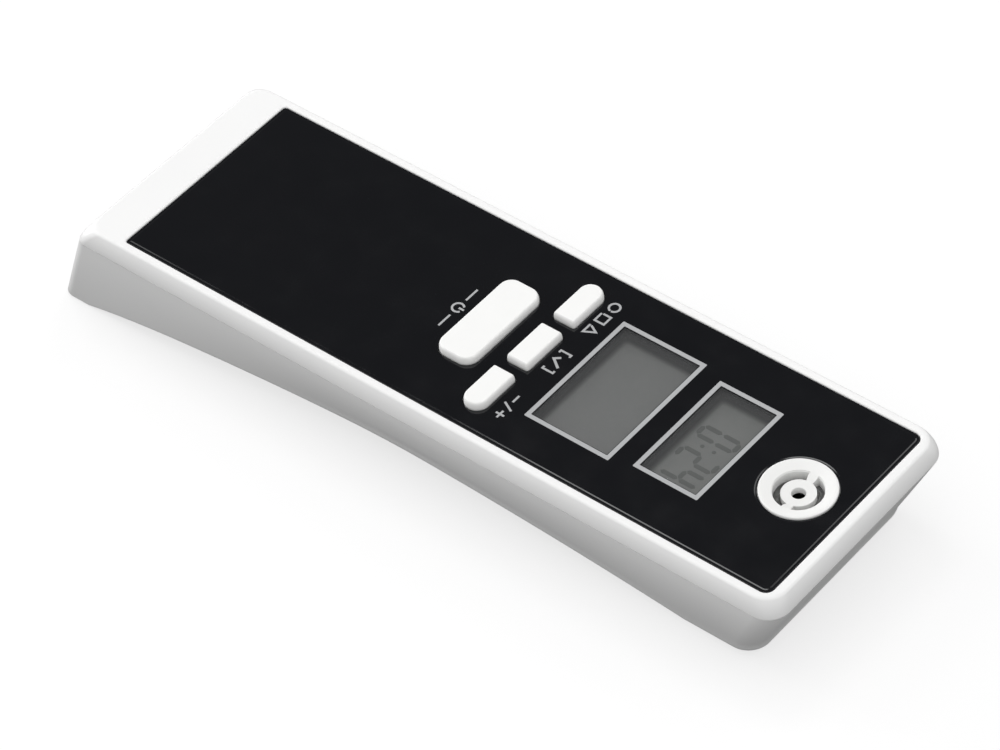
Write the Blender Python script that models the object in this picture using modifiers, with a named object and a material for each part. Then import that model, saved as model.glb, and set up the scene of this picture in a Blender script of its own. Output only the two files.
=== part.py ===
"""Hand-held breath-alcohol tester with a clock display, as an assembly of separate pieces.

Lengths below are millimetres.  Along the body, x is first counted from the heel edge of the
black front panel, and every height is counted up from the surface the tester lies on.
The finished frame has its origin under the middle of the body: +X towards the breath inlet,
+Y across the body, +Z up out of the front panel.
"""

import math

import bmesh
import bpy

MM = 0.001

# Driving dimensions of the case.
HEEL_X = -15.4
FRONT_X = 129.4
X_SHIFT = -(HEEL_X + FRONT_X) / 2
TOP = 18.0
HALF_WIDTH = 21.5
RIM_RADIUS = 0.8
RIM_TURN = 62
RIM_LEAN = 88
PARTING_DEPTH = 3.0
WALL = 1.6
SEAM = 0.15

# Underside: an arch between a heel foot and a front foot, and side walls that tuck under it.
ARCH_X = 42.0
ARCH_DEPTH = 14.8
HEEL_FOOT_X = -9.5
FRONT_FOOT_X = 110.0
NARROW_X = 60.0
HEEL_HALF_WIDTH = 21.4
BOTTOM_HALF_WIDTH = 19.2
HEEL_EDGE_RADIUS = 0.6
BOTTOM_RADIUS = 3.0
WALL_CURVE = 1.6
HEEL_TOP_X = -8.3
FRONT_BOTTOM_X = 123.6
HEEL_CORNER = 2.0
FRONT_CORNER = 3.8

# Front panel, its windows and the inlet.
PANEL_LENGTH = 126.6
PANEL_HALF_WIDTH = 19.0
PANEL_THICKNESS = 0.8
PANEL_GAP = 0.12
PANEL_HEEL_CORNER = 0.5
PANEL_FRONT_CORNER = 1.4
CEILING = 16.0
MAIN_WINDOW = {"x": 83.4, "y": 0.3, "length": 14.4, "width": 22.4}
CLOCK_WINDOW = {"x": 101.05, "y": 0.2, "length": 10.3, "width": 19.6}
INLET_X = 117.8
INLET_RADIUS = 6.0
INLET_NECK_RADIUS = 4.9
INLET_BORE_RADIUS = 3.9
HUB_RADIUS = 2.7
HUB_DROP = 1.15
HUB_THICKNESS = 1.2
DISH_DROP = 0.5
INLET_HOLE_RADIUS = 1.1
HALF_BRIDGE = 12.5
INLET_RISE = 0.3
BRIDGE_ANGLES = (90, 278)

# Keys: centre, size along and across the body, and which end is fully round.
KEY_RISE = 1.2
KEY_EDGE = 0.35
SWITCH_SIZE = 5.0
PLUNGER_RADIUS = 1.1
KEYS = {
    "power": {"x": 58.8, "y": 0.1, "length": 7.3, "width": 18.4, "corner": 2.3, "round_end": 0},
    "mode": {"x": 68.0, "y": 11.1, "length": 4.3, "width": 8.8, "corner": 0.5, "round_end": 1},
    "set": {"x": 67.9, "y": 0.0, "length": 4.3, "width": 8.8, "corner": 0.5, "round_end": 0},
    "adjust": {"x": 67.65, "y": -11.1, "length": 4.3, "width": 8.8, "corner": 0.5, "round_end": -1},
}

# Works inside: the board, the displays and the cells.
BOARD_TOP = 9.4
BOARD_THICKNESS = 1.2
BOARD_X = (51.0, 122.6)
BOARD_HALF_WIDTH = 16.6
LCD_TOP = 15.8
LCD_THICKNESS = 1.9
GASKET_WIDTH = 0.75
CELL_RADIUS = 5.25
CELL_LENGTH = 44.5
CELL_Y = 5.75
CELL_Z = 10.5
BAY_X = (-5.6, 43.7)
BAY_HALF_WIDTH = 12.6
# Fasteners: x, y and, for the case screws, the height of the seat under the head.
CASE_SCREWS = ((50.0, 14.4, 5.0), (50.0, -14.4, 5.0), (117.5, 13.0, 2.9), (117.5, -13.0, 2.9))
BOARD_SCREWS = ((83.0, 15.0), (83.0, -15.0))
CASE_SHANK_RADIUS = 0.95
CASE_HEAD_RADIUS = 1.9
LOWER_POST_RADIUS = 2.8
UPPER_POST_RADIUS = 2.3
BOARD_SHANK_RADIUS = 0.7
BOARD_HEAD_RADIUS = 1.6
BOARD_POST_RADIUS = 1.8
CLEARANCE = 0.3
POST_RISE = 2.0

MATERIALS = {
    "shell_white": ((0.87, 0.87, 0.86), 0.32, 0.0),
    "key_white": ((0.90, 0.90, 0.88), 0.42, 0.0),
    "panel_black": ((0.010, 0.011, 0.014), 0.16, 0.0),
    "window_clear": ((0.92, 0.94, 0.95), 0.04, 0.0),
    "lcd_grey": ((0.17, 0.18, 0.18), 0.30, 0.0),
    "foam_black": ((0.02, 0.02, 0.02), 0.9, 0.0),
    "holder_white": ((0.75, 0.75, 0.73), 0.5, 0.0),
    "rubber_grey": ((0.20, 0.20, 0.21), 0.8, 0.0),
    "board_green": ((0.03, 0.22, 0.09), 0.45, 0.0),
    "part_black": ((0.03, 0.03, 0.03), 0.45, 0.0),
    "metal_bright": ((0.72, 0.72, 0.70), 0.25, 1.0),
    "metal_brass": ((0.78, 0.60, 0.28), 0.3, 1.0),
    "cell_wrap": ((0.10, 0.22, 0.45), 0.35, 0.0),
    "wire_red": ((0.55, 0.03, 0.03), 0.5, 0.0),
    "wire_black": ((0.03, 0.03, 0.03), 0.5, 0.0),
}


# ---------------------------------------------------------------------------
# Scene helpers


def clear_scene():
    for item in list(bpy.data.objects):
        bpy.data.objects.remove(item, do_unlink=True)


def collection(name):
    group = bpy.data.collections.new(name)
    bpy.context.scene.collection.children.link(group)
    return group


def material(name):
    found = bpy.data.materials.get(name)
    if found:
        return found
    colour, roughness, metallic = MATERIALS[name]
    made = bpy.data.materials.new(name)
    made.use_nodes = True
    shader = made.node_tree.nodes["Principled BSDF"]
    shader.inputs["Base Color"].default_value = (*colour, 1.0)
    shader.inputs["Roughness"].default_value = roughness
    shader.inputs["Metallic"].default_value = metallic
    made.diffuse_color = (*colour, 1.0)
    return made


def world(x, y, z):
    """A point in the finished frame, in metres."""
    return ((x + X_SHIFT) * MM, y * MM, z * MM)


def add_object(name, mesh, slot, origin=(0.0, 0.0, 0.0)):
    """Links a piece whose mesh is in world metres, and puts its origin where it pivots or slides."""
    for vertex in mesh.vertices:
        vertex.co = [value - start for value, start in zip(vertex.co, origin)]
    piece = bpy.data.objects.new(name, mesh)
    piece.location = origin
    if slot:
        piece.data.materials.append(material(slot))
        PARTS.objects.link(piece)
    else:
        piece.hide_render = True
        piece.display_type = "WIRE"
        CUTTERS.objects.link(piece)
    return piece


def piece_from(name, solid, slot, origin=(0.0, 0.0, 0.0), smooth=False):
    bmesh.ops.recalc_face_normals(solid, faces=solid.faces)
    mesh = bpy.data.meshes.new(name)
    solid.to_mesh(mesh)
    solid.free()
    if smooth:
        mesh.shade_smooth()
        mesh.set_sharp_from_angle(angle=math.radians(35))
    return add_object(name, mesh, slot, origin)


def boolean(piece, tool, operation):
    step = piece.modifiers.new(tool.name, "BOOLEAN")
    step.operation = operation
    step.solver = "EXACT"
    step.object = tool
    return piece


# ---------------------------------------------------------------------------
# Solid shapes, added to a bmesh in world metres


def add_box(solid, x, y, z, corner=0.0, corner_steps=4):
    """A box between pairs of x, y and z, with rounded upright corners."""
    made = bmesh.ops.create_cube(solid, size=1.0)["verts"]
    low = world(x[0], y[0], z[0])
    high = world(x[1], y[1], z[1])
    for vertex in made:
        vertex.co = [a + (c + 0.5) * (b - a) for a, b, c in zip(low, high, vertex.co)]
    if corner:
        edges = {side for vertex in made for side in vertex.link_edges}
        upright = [side for side in edges if abs(side.verts[0].co.z - side.verts[1].co.z) > 1e-6]
        bmesh.ops.bevel(solid, geom=upright, offset=corner * MM, segments=corner_steps,
                        profile=0.5, affect="EDGES", clamp_overlap=True)


def add_cylinder(solid, x, y, z, radius, steps=32):
    made = bmesh.ops.create_cone(
        solid, cap_ends=True, segments=steps, radius1=radius * MM, radius2=radius * MM,
        depth=(z[1] - z[0]) * MM)["verts"]
    centre = world(x, y, (z[0] + z[1]) / 2)
    bmesh.ops.translate(solid, verts=made, vec=centre)


def add_prism(solid, outline, z):
    """An upright prism on an outline of (x, y) points."""
    low = [solid.verts.new(world(px, py, z[0])) for px, py in outline]
    face = solid.faces.new(low)
    lifted = bmesh.ops.extrude_face_region(solid, geom=[face])["geom"]
    raised = [item for item in lifted if isinstance(item, bmesh.types.BMVert)]
    bmesh.ops.translate(solid, verts=raised, vec=(0, 0, (z[1] - z[0]) * MM))


def box_piece(name, x, y, z, slot, corner=0.0):
    solid = bmesh.new()
    add_box(solid, x, y, z, corner)
    return piece_from(name, solid, slot)


def turned(name, profile, place, slot, steps=32, lying=False):
    """A turned solid: a profile of (radius, height) points, outer side from top to bottom."""
    mesh = bpy.data.meshes.new(name)
    points = [(radius * MM, 0.0, height * MM) for radius, height in profile]
    closed = profile[0][0] > 0
    links = [(i, i + 1) for i in range(len(points) - 1)]
    if closed:
        links.append((len(points) - 1, 0))
    mesh.from_pydata(points, links, [])
    piece = bpy.data.objects.new(name, mesh)
    piece.location = place
    if lying:
        piece.rotation_euler = (0.0, math.radians(90 if lying > 0 else -90), 0.0)
    piece.data.materials.append(material(slot))
    PARTS.objects.link(piece)
    screw = piece.modifiers.new("turn", "SCREW")
    screw.steps = steps
    screw.render_steps = steps
    screw.use_merge_vertices = True
    screw.merge_threshold = 0.000001
    screw.use_smooth_shade = True
    return piece


def wire(name, points, radius, slot, place=(0.0, 0.0, 0.0)):
    """A round wire along a list of world points, with closed ends."""
    curve = bpy.data.curves.new(name, "CURVE")
    curve.dimensions = "3D"
    curve.bevel_depth = radius * MM
    curve.bevel_resolution = 2
    curve.use_fill_caps = True
    line = curve.splines.new("POLY")
    line.points.add(len(points) - 1)
    for slot_point, point in zip(line.points, points):
        slot_point.co = (*point, 1.0)
    piece = bpy.data.objects.new(name, curve)
    piece.location = place
    piece.data.materials.append(material(slot))
    PARTS.objects.link(piece)
    return piece


# ---------------------------------------------------------------------------
# The case's outer form, as a loft of rounded outlines from the rim down to the feet


def smooth_step(value):
    value = min(1.0, max(0.0, value))
    return value * value * (3 - 2 * value)


def under_depth(x):
    """How far the underside lies below the rim, at x."""
    rise = TOP - ARCH_DEPTH
    if x < ARCH_X:
        share = min(1.0, (ARCH_X - x) / (ARCH_X - HEEL_FOOT_X))
        return ARCH_DEPTH + rise * share ** 4
    share = min(1.0, (x - ARCH_X) / (FRONT_FOOT_X - ARCH_X))
    return ARCH_DEPTH + rise * share ** 2.1


def narrowing(x):
    return smooth_step((x - HEEL_FOOT_X) / (NARROW_X - HEEL_FOOT_X))


def edge_radius(x):
    return HEEL_EDGE_RADIUS + (BOTTOM_RADIUS - HEEL_EDGE_RADIUS) * narrowing(x)


def wall_half_width(x, down):
    """Half-width of the side wall, where down runs from 0 at the parting line to 1 at the foot."""
    foot = HEEL_HALF_WIDTH + (BOTTOM_HALF_WIDTH - HEEL_HALF_WIDTH) * narrowing(x)
    return HALF_WIDTH + (foot - HALF_WIDTH) * down ** WALL_CURVE


def heel_x(depth):
    return HEEL_TOP_X + (HEEL_X - HEEL_TOP_X) * min(1.0, depth / (TOP - HEEL_EDGE_RADIUS))


def front_x(depth):
    below = max(0.0, depth - PARTING_DEPTH) / (TOP - PARTING_DEPTH)
    return FRONT_X + (FRONT_BOTTOM_X - FRONT_X) * below


def outline(x_heel, x_front, inset_of, half_width_of, shrink, ease=0.0, corner_steps=4):
    """Stations (x, y) along the +Y side of one level of the case, from heel to front."""
    side = []
    heel_corner = max(0.4, HEEL_CORNER + ease - shrink)
    front_corner = max(0.4, FRONT_CORNER - shrink)
    for i in range(corner_steps + 1):
        turn = math.radians(90) * i / corner_steps
        x = x_heel + heel_corner * (1 - math.cos(turn))
        side.append((x, half_width_of(x) - inset_of(x) - heel_corner * (1 - math.sin(turn))))
    start = x_heel + heel_corner
    stop = x_front - front_corner
    heel_foot = max(HEEL_FOOT_X, start + 0.5)
    spans = ((start, heel_foot, 2), (heel_foot, FRONT_FOOT_X, 15), (FRONT_FOOT_X, stop, 2))
    for low, high, steps in spans:
        for i in range(steps):
            x = low + (high - low) * i / steps
            if x > start:
                side.append((x, half_width_of(x) - inset_of(x)))
    for i in range(corner_steps + 1):
        turn = math.radians(90) * i / corner_steps
        x = stop + front_corner * math.sin(turn)
        side.append((x, half_width_of(x) - inset_of(x) - front_corner * (1 - math.cos(turn))))
    return side


def add_loft(solid, levels):
    """Closes a stack of levels, each a list of (x, y, depth) along the +Y side, into one solid."""
    rings = []
    for level in levels:
        far = [solid.verts.new(world(x, y, TOP - depth)) for x, y, depth in level]
        near = [solid.verts.new(world(x, -y, TOP - depth)) for x, y, depth in level]
        rings.append(far + near[::-1])
    count = len(rings[0])
    for upper, lower in zip(rings, rings[1:]):
        for i in range(count):
            j = (i + 1) % count
            solid.faces.new((upper[i], upper[j], lower[j], lower[i]))
    half = count // 2
    for ring in (rings[0], rings[-1]):
        for i in range(half - 1):
            solid.faces.new((ring[i], ring[i + 1], ring[count - 2 - i], ring[count - 1 - i]))


def rim_profile(edge_steps=3, slope_steps=4):
    """Pairs (inset, depth) down the rim: a tight edge, then a long easy curve to the parting."""
    turn, lean = math.radians(RIM_TURN), math.radians(RIM_LEAN)
    edge_depth = RIM_RADIUS * (1 - math.cos(turn))
    slope_depth = PARTING_DEPTH - SEAM / 2 - edge_depth
    slope_radius = slope_depth / (math.cos(turn) - math.cos(lean))
    edge_inset = slope_radius * (math.sin(lean) - math.sin(turn))
    pairs = []
    for i in range(edge_steps):
        angle = turn * i / edge_steps
        inset = edge_inset + RIM_RADIUS * (math.sin(turn) - math.sin(angle))
        pairs.append((inset, RIM_RADIUS * (1 - math.cos(angle))))
    for i in range(slope_steps + 1):
        angle = turn + (lean - turn) * i / slope_steps
        inset = slope_radius * (math.sin(lean) - math.sin(angle))
        pairs.append((inset, edge_depth + slope_radius * (math.cos(turn) - math.cos(angle))))
    return pairs


def upper_level(depth, fillet_inset, shrink):
    """A flat level above the parting line."""
    x_heel = heel_x(depth) + fillet_inset + shrink
    x_front = front_x(depth) - fillet_inset - shrink
    side = outline(x_heel, x_front, lambda x: fillet_inset + shrink, lambda x: HALF_WIDTH,
                   shrink, ease=fillet_inset)
    return [(x, y, depth) for x, y in side]


def lower_level(down, turn, shrink):
    """A level of the lower case: down the wall from the parting line, then turn round its edge."""
    edge = math.radians(turn)

    def depth_at(x):
        radius = edge_radius(x)
        floor = under_depth(x) - shrink
        foot = floor - radius * (1 - math.sin(edge))
        return PARTING_DEPTH + SEAM / 2 + (foot - PARTING_DEPTH - SEAM / 2) * down

    def inset_at(x):
        return edge_radius(x) * (1 - math.cos(edge)) + shrink

    low = TOP - HEEL_EDGE_RADIUS
    heel_depth = PARTING_DEPTH + (low - PARTING_DEPTH) * down
    front_depth = PARTING_DEPTH + (TOP - PARTING_DEPTH) * down
    x_heel = heel_x(heel_depth) + inset_at(HEEL_X)
    x_front = front_x(front_depth) - inset_at(FRONT_X)
    side = outline(x_heel, x_front, inset_at, lambda x: wall_half_width(x, down), shrink)
    return [(x, y, depth_at(x)) for x, y in side]


def lower_levels(shrink):
    walls = [lower_level(down, 0, shrink) for down in (0.0, 0.25, 0.5, 0.75, 1.0)]
    edges = [lower_level(1.0, turn, shrink) for turn in (22.5, 45.0, 67.5, 90.0)]
    return walls + edges


# ---------------------------------------------------------------------------
# Case pieces


def window_box(window, grow):
    x = (window["x"] - window["length"] / 2 - grow, window["x"] + window["length"] / 2 + grow)
    y = (window["y"] - window["width"] / 2 - grow, window["y"] + window["width"] / 2 + grow)
    return x, y


def key_outline(key, grow, end_steps=8, corner_steps=4):
    """Outline of a key: rounded corners, or a full half-round at one end."""
    half_length = key["length"] / 2 + grow
    half_width = key["width"] / 2 + grow
    points = []
    for sign_y, sign_x in ((1, 1), (1, -1), (-1, -1), (-1, 1)):
        rounded = key["round_end"] == sign_y
        radius = half_length if rounded else key["corner"] + grow
        steps = end_steps if rounded else corner_steps
        start = math.radians({(1, 1): 0, (1, -1): 90, (-1, -1): 180, (-1, 1): 270}[sign_y, sign_x])
        for i in range(steps + 1):
            turn = start + math.radians(90) * i / steps
            x = key["x"] + sign_x * (half_length - radius) + radius * math.cos(turn)
            y = key["y"] + sign_y * (half_width - radius) + radius * math.sin(turn)
            if points and math.dist(points[-1], (x, y)) < 1e-6:
                continue
            points.append((x, y))
    if math.dist(points[0], points[-1]) < 1e-6:
        points.pop()
    return points


def panel_outline(grow, steps=4):
    """Outline of the front panel: tight corners at the heel, rounder ones by the inlet."""
    points = []
    corners = ((PANEL_LENGTH, 1, PANEL_FRONT_CORNER), (0.0, 1, PANEL_HEEL_CORNER),
               (0.0, -1, PANEL_HEEL_CORNER), (PANEL_LENGTH, -1, PANEL_FRONT_CORNER))
    for number, (end, side, corner) in enumerate(corners):
        inward = 1 if end == 0.0 else -1
        centre = (end + inward * corner, side * (PANEL_HALF_WIDTH - corner))
        for i in range(steps + 1):
            turn = math.radians(90 * (number + i / steps))
            points.append((centre[0] + (corner + grow) * math.cos(turn),
                           centre[1] + (corner + grow) * math.sin(turn)))
    return points


def make_top_shell():
    solid = bmesh.new()
    add_loft(solid, [upper_level(depth, inset, 0.0) for inset, depth in rim_profile()])
    shell = piece_from("top_shell", solid, "shell_white", smooth=True)

    hollow = bmesh.new()
    add_loft(hollow, [upper_level(TOP - CEILING, 0.0, WALL),
                      upper_level(PARTING_DEPTH + 1.0, 0.0, WALL)])
    boolean(shell, piece_from("top_hollow", hollow, None), "DIFFERENCE")

    posts = bmesh.new()
    for x, y, seat in CASE_SCREWS:
        add_cylinder(posts, x, y, (seat + POST_RISE + 0.2, CEILING + 0.4), UPPER_POST_RADIUS, 20)
    for x, y in BOARD_SCREWS:
        add_cylinder(posts, x, y, (BOARD_TOP + 0.15, CEILING + 0.4), BOARD_POST_RADIUS, 20)
    boolean(shell, piece_from("top_posts", posts, None), "UNION")

    cuts = bmesh.new()
    add_prism(cuts, panel_outline(PANEL_GAP), (TOP - PANEL_THICKNESS - 0.1, TOP + 1.0))
    boolean(shell, piece_from("panel_recess", cuts, None), "DIFFERENCE")

    holes = bmesh.new()
    span = (CEILING - 1.0, TOP + 1.0)
    for window in (MAIN_WINDOW, CLOCK_WINDOW):
        add_box(holes, *window_box(window, GASKET_WIDTH + 0.15), span)
    for key in KEYS.values():
        add_prism(holes, key_outline(key, CLEARANCE), span)
    add_cylinder(holes, INLET_X, 0.0, span, INLET_NECK_RADIUS + CLEARANCE)
    for x, y, seat in CASE_SCREWS:
        add_cylinder(holes, x, y, (seat, seat + 9.0), CASE_SHANK_RADIUS + 0.25, 16)
    for x, y in BOARD_SCREWS:
        add_cylinder(holes, x, y, (BOARD_TOP - 1.0, BOARD_TOP + 5.0), BOARD_SHANK_RADIUS + 0.25, 16)
    boolean(shell, piece_from("top_holes", holes, None), "DIFFERENCE")


def bay_box(grow, z):
    return ((BAY_X[0] - grow, BAY_X[1] + grow),
            (-BAY_HALF_WIDTH - grow, BAY_HALF_WIDTH + grow), z)


def make_bottom_shell():
    solid = bmesh.new()
    add_loft(solid, lower_levels(0.0))
    shell = piece_from("bottom_shell", solid, "shell_white", smooth=True)

    hollow = bmesh.new()
    levels = lower_levels(WALL)
    add_loft(hollow, [[(x, y, PARTING_DEPTH - 1.0) for x, y, depth in levels[0]]] + levels)
    inside = piece_from("bottom_hollow", hollow, None)
    boolean(shell, inside, "DIFFERENCE")

    posts = bmesh.new()
    for x, y, seat in CASE_SCREWS:
        add_cylinder(posts, x, y, (TOP - under_depth(x) + WALL / 2, seat + POST_RISE),
                     LOWER_POST_RADIUS, 20)
    add_box(posts, (44.6, 45.6), (-12.0, 12.0), (4.0, 13.4))
    add_box(posts, (-7.6, -6.6), (-12.0, 12.0), (1.0, 13.4))
    boolean(shell, piece_from("bottom_posts", posts, None), "UNION")

    wells = bmesh.new()
    shanks = bmesh.new()
    for x, y, seat in CASE_SCREWS:
        add_cylinder(wells, x, y, (-1.0, seat), CASE_HEAD_RADIUS + CLEARANCE, 20)
        add_cylinder(shanks, x, y, (seat - 0.5, seat + 3.0), CASE_SHANK_RADIUS + 0.35, 16)
    add_box(wells, *bay_box(0.0, (-1.0, 6.2)), corner=1.5)
    boolean(shell, piece_from("screw_wells", wells, None), "DIFFERENCE")
    boolean(shell, piece_from("screw_shanks", shanks, None), "DIFFERENCE")
    return inside


def make_battery_door(inside):
    solid = bmesh.new()
    add_loft(solid, lower_levels(0.0))
    door = piece_from("battery_door", solid, "shell_white", smooth=True)
    frame = bmesh.new()
    add_box(frame, *bay_box(-0.25, (-1.0, 6.2)), corner=1.3)
    boolean(door, piece_from("door_outline", frame, None), "INTERSECT")
    boolean(door, inside, "DIFFERENCE")
    grip = bmesh.new()
    for i in range(4):
        x = 35.0 + 1.6 * i
        add_box(grip, (x, x + 0.8), (-5.0, 5.0), (0.0, TOP - under_depth(x) + 0.5))
    boolean(door, piece_from("door_grip", grip, None), "DIFFERENCE")


def make_front_panel():
    plate = bmesh.new()
    add_prism(plate, panel_outline(0.0), (TOP - PANEL_THICKNESS, TOP))
    panel = piece_from("front_panel", plate, "panel_black")
    holes = bmesh.new()
    span = (TOP - 2.0, TOP + 1.0)
    for window in (MAIN_WINDOW, CLOCK_WINDOW):
        add_box(holes, *window_box(window, 0.0), span)
    for key in KEYS.values():
        add_prism(holes, key_outline(key, 0.2), span)
    add_cylinder(holes, INLET_X, 0.0, span, INLET_RADIUS + 0.2, 48)
    boolean(panel, piece_from("panel_holes", holes, None), "DIFFERENCE")


# ---------------------------------------------------------------------------
# Displays


def make_display(prefix, window):
    box_piece(prefix + "_window", *window_box(window, -0.08),
              (TOP - PANEL_THICKNESS, TOP - 0.05), "window_clear")

    ring = box_piece(prefix + "_lcd_gasket", *window_box(window, GASKET_WIDTH),
                     (LCD_TOP + 0.1, TOP - PANEL_THICKNESS - 0.15), "foam_black")
    hole = box_piece(prefix + "_gasket_hole", *window_box(window, 0.15),
                     (LCD_TOP - 1.0, TOP + 1.0), None)
    boolean(ring, hole, "DIFFERENCE")

    glass_x, glass_y = window_box(window, 1.5)
    box_piece(prefix + "_lcd", glass_x, glass_y, (LCD_TOP - LCD_THICKNESS, LCD_TOP), "lcd_grey")
    base = BOARD_TOP + 0.1
    under = LCD_TOP - LCD_THICKNESS - 0.1
    box_piece(prefix + "_lcd_holder", (glass_x[0] + 2.6, glass_x[1] - 0.4),
              (glass_y[0] + 0.6, glass_y[1] - 0.6), (base, under), "holder_white")
    box_piece(prefix + "_zebra_strip", (glass_x[0] + 0.3, glass_x[0] + 2.1),
              (glass_y[0] + 1.0, glass_y[1] - 1.0), (base, under), "rubber_grey")


# ---------------------------------------------------------------------------
# Keys and their switches


def make_key(name, key):
    origin = world(key["x"], key["y"], TOP)
    solid = bmesh.new()
    add_prism(solid, key_outline(key, 0.0), (14.9, TOP + KEY_RISE))
    top = (TOP + KEY_RISE) * MM
    rim = [edge for edge in solid.edges if all(abs(v.co.z - top) < 1e-7 for v in edge.verts)]
    bmesh.ops.bevel(solid, geom=rim, offset=KEY_EDGE * MM, segments=2, profile=0.5, affect="EDGES")
    cap = piece_from(name + "_key", solid, "key_white", origin, smooth=True)
    flange = bmesh.new()
    add_prism(flange, key_outline(key, 0.6), (14.7, 15.6))
    boolean(cap, piece_from(name + "_flange", flange, None), "UNION")

    x, y = key["x"], key["y"]
    half = SWITCH_SIZE / 2
    body = box_piece(name + "_switch", (x - half, x + half), (y - half, y + half),
                     (BOARD_TOP + 0.1, 12.9), "part_black")
    well = bmesh.new()
    add_cylinder(well, x, y, (11.2, 14.0), PLUNGER_RADIUS + 0.25, 20)
    boolean(body, piece_from(name + "_switch_well", well, None), "DIFFERENCE")
    stem = bmesh.new()
    add_cylinder(stem, x, y, (12.0, 14.6), PLUNGER_RADIUS, 20)
    piece_from(name + "_plunger", stem, "part_black", origin)


# ---------------------------------------------------------------------------
# Breath inlet and sensor


def ring_sector(solid, radii, start, stop, z, steps=16):
    """An upright prism on part of a ring, between two angles in degrees."""
    turns = [math.radians(start + (stop - start) * i / steps) for i in range(steps + 1)]
    outer = [(INLET_X + radii[1] * math.cos(t), radii[1] * math.sin(t)) for t in turns]
    inner = [(INLET_X + radii[0] * math.cos(t), radii[0] * math.sin(t)) for t in turns]
    add_prism(solid, outer + inner[::-1], z)


def make_inlet():
    top = TOP + INLET_RISE
    shoulder = TOP - PANEL_THICKNESS + 0.05
    profile = [(0.0, top - HUB_DROP), (HUB_RADIUS, top - HUB_DROP),
               (INLET_BORE_RADIUS, top - DISH_DROP), (INLET_RADIUS - 0.6, top - 0.04),
               (INLET_RADIUS - 0.4, top),
               (INLET_RADIUS - 0.15, top - 0.12), (INLET_RADIUS, top - 0.45),
               (INLET_RADIUS, shoulder), (INLET_NECK_RADIUS, shoulder), (INLET_NECK_RADIUS, 14.9),
               (0.0, 14.9)]
    inlet = turned("breath_inlet", profile, world(INLET_X, 0.0, 0.0), "key_white", steps=48)
    cuts = bmesh.new()
    bore_top = top - HUB_DROP - HUB_THICKNESS
    add_cylinder(cuts, INLET_X, 0.0, (14.0, bore_top), INLET_BORE_RADIUS, 32)
    boolean(inlet, piece_from("inlet_bore", cuts, None), "DIFFERENCE")
    slots = bmesh.new()
    span = (bore_top - 0.3, TOP + 2.0)
    band = (HUB_RADIUS, INLET_BORE_RADIUS)
    first, second = BRIDGE_ANGLES
    ring_sector(slots, band, first + HALF_BRIDGE, second - HALF_BRIDGE, span)
    ring_sector(slots, band, second + HALF_BRIDGE, first + 360 - HALF_BRIDGE, span)
    add_cylinder(slots, INLET_X, 0.0, span, INLET_HOLE_RADIUS, 24)
    boolean(inlet, piece_from("inlet_slots", slots, None), "DIFFERENCE")

    place = world(INLET_X, 0.0, 0.0)
    gasket_top, gasket_foot = 14.75, 14.15
    turned("sensor_gasket", [(4.6, gasket_top), (4.6, gasket_foot), (3.4, gasket_foot),
                             (3.4, gasket_top)], place, "rubber_grey")
    can_top = 14.0
    turned("gas_sensor", [(0.0, can_top - 0.9), (3.2, can_top - 0.9), (3.2, can_top),
                          (4.2, can_top), (4.5, can_top - 0.3), (4.5, 10.3), (4.9, 10.3),
                          (4.9, BOARD_TOP + 0.1), (0.0, BOARD_TOP + 0.1)], place, "metal_bright")
    turned("sensor_mesh", [(0.0, can_top - 0.2), (3.0, can_top - 0.2), (3.0, can_top - 0.6),
                           (0.0, can_top - 0.6)], place, "metal_brass")


# ---------------------------------------------------------------------------
# Circuit board, cells, contacts and fasteners


def make_board():
    low = BOARD_TOP - BOARD_THICKNESS
    board = box_piece("main_board", BOARD_X, (-BOARD_HALF_WIDTH, BOARD_HALF_WIDTH),
                      (low, BOARD_TOP), "board_green", corner=2.0)
    holes = bmesh.new()
    for x, y, _ in CASE_SCREWS:
        add_cylinder(holes, x, y, (low - 1, BOARD_TOP + 1), UPPER_POST_RADIUS + 0.4, 20)
    for x, y in BOARD_SCREWS:
        add_cylinder(holes, x, y, (low - 1, BOARD_TOP + 1), BOARD_SHANK_RADIUS + 0.4, 16)
    boolean(board, piece_from("board_holes", holes, None), "DIFFERENCE")
    under = low - 0.1
    box_piece("controller_chip", (80.0, 90.0), (-5.0, 5.0), (under - 1.4, under), "part_black")
    box_piece("clock_crystal", (99.0, 101.0), (3.0, 9.5), (under - 1.9, under), "metal_bright",
              corner=0.9)
    for name, x, y, radius, height, slot in (
            ("buzzer", 63.0, 7.5, 4.5, 2.6, "part_black"),
            ("capacitor", 73.0, -8.0, 2.5, 2.5, "metal_bright")):
        solid = bmesh.new()
        add_cylinder(solid, x, y, (under - height, under), radius)
        piece_from(name, solid, slot, smooth=True)


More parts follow.
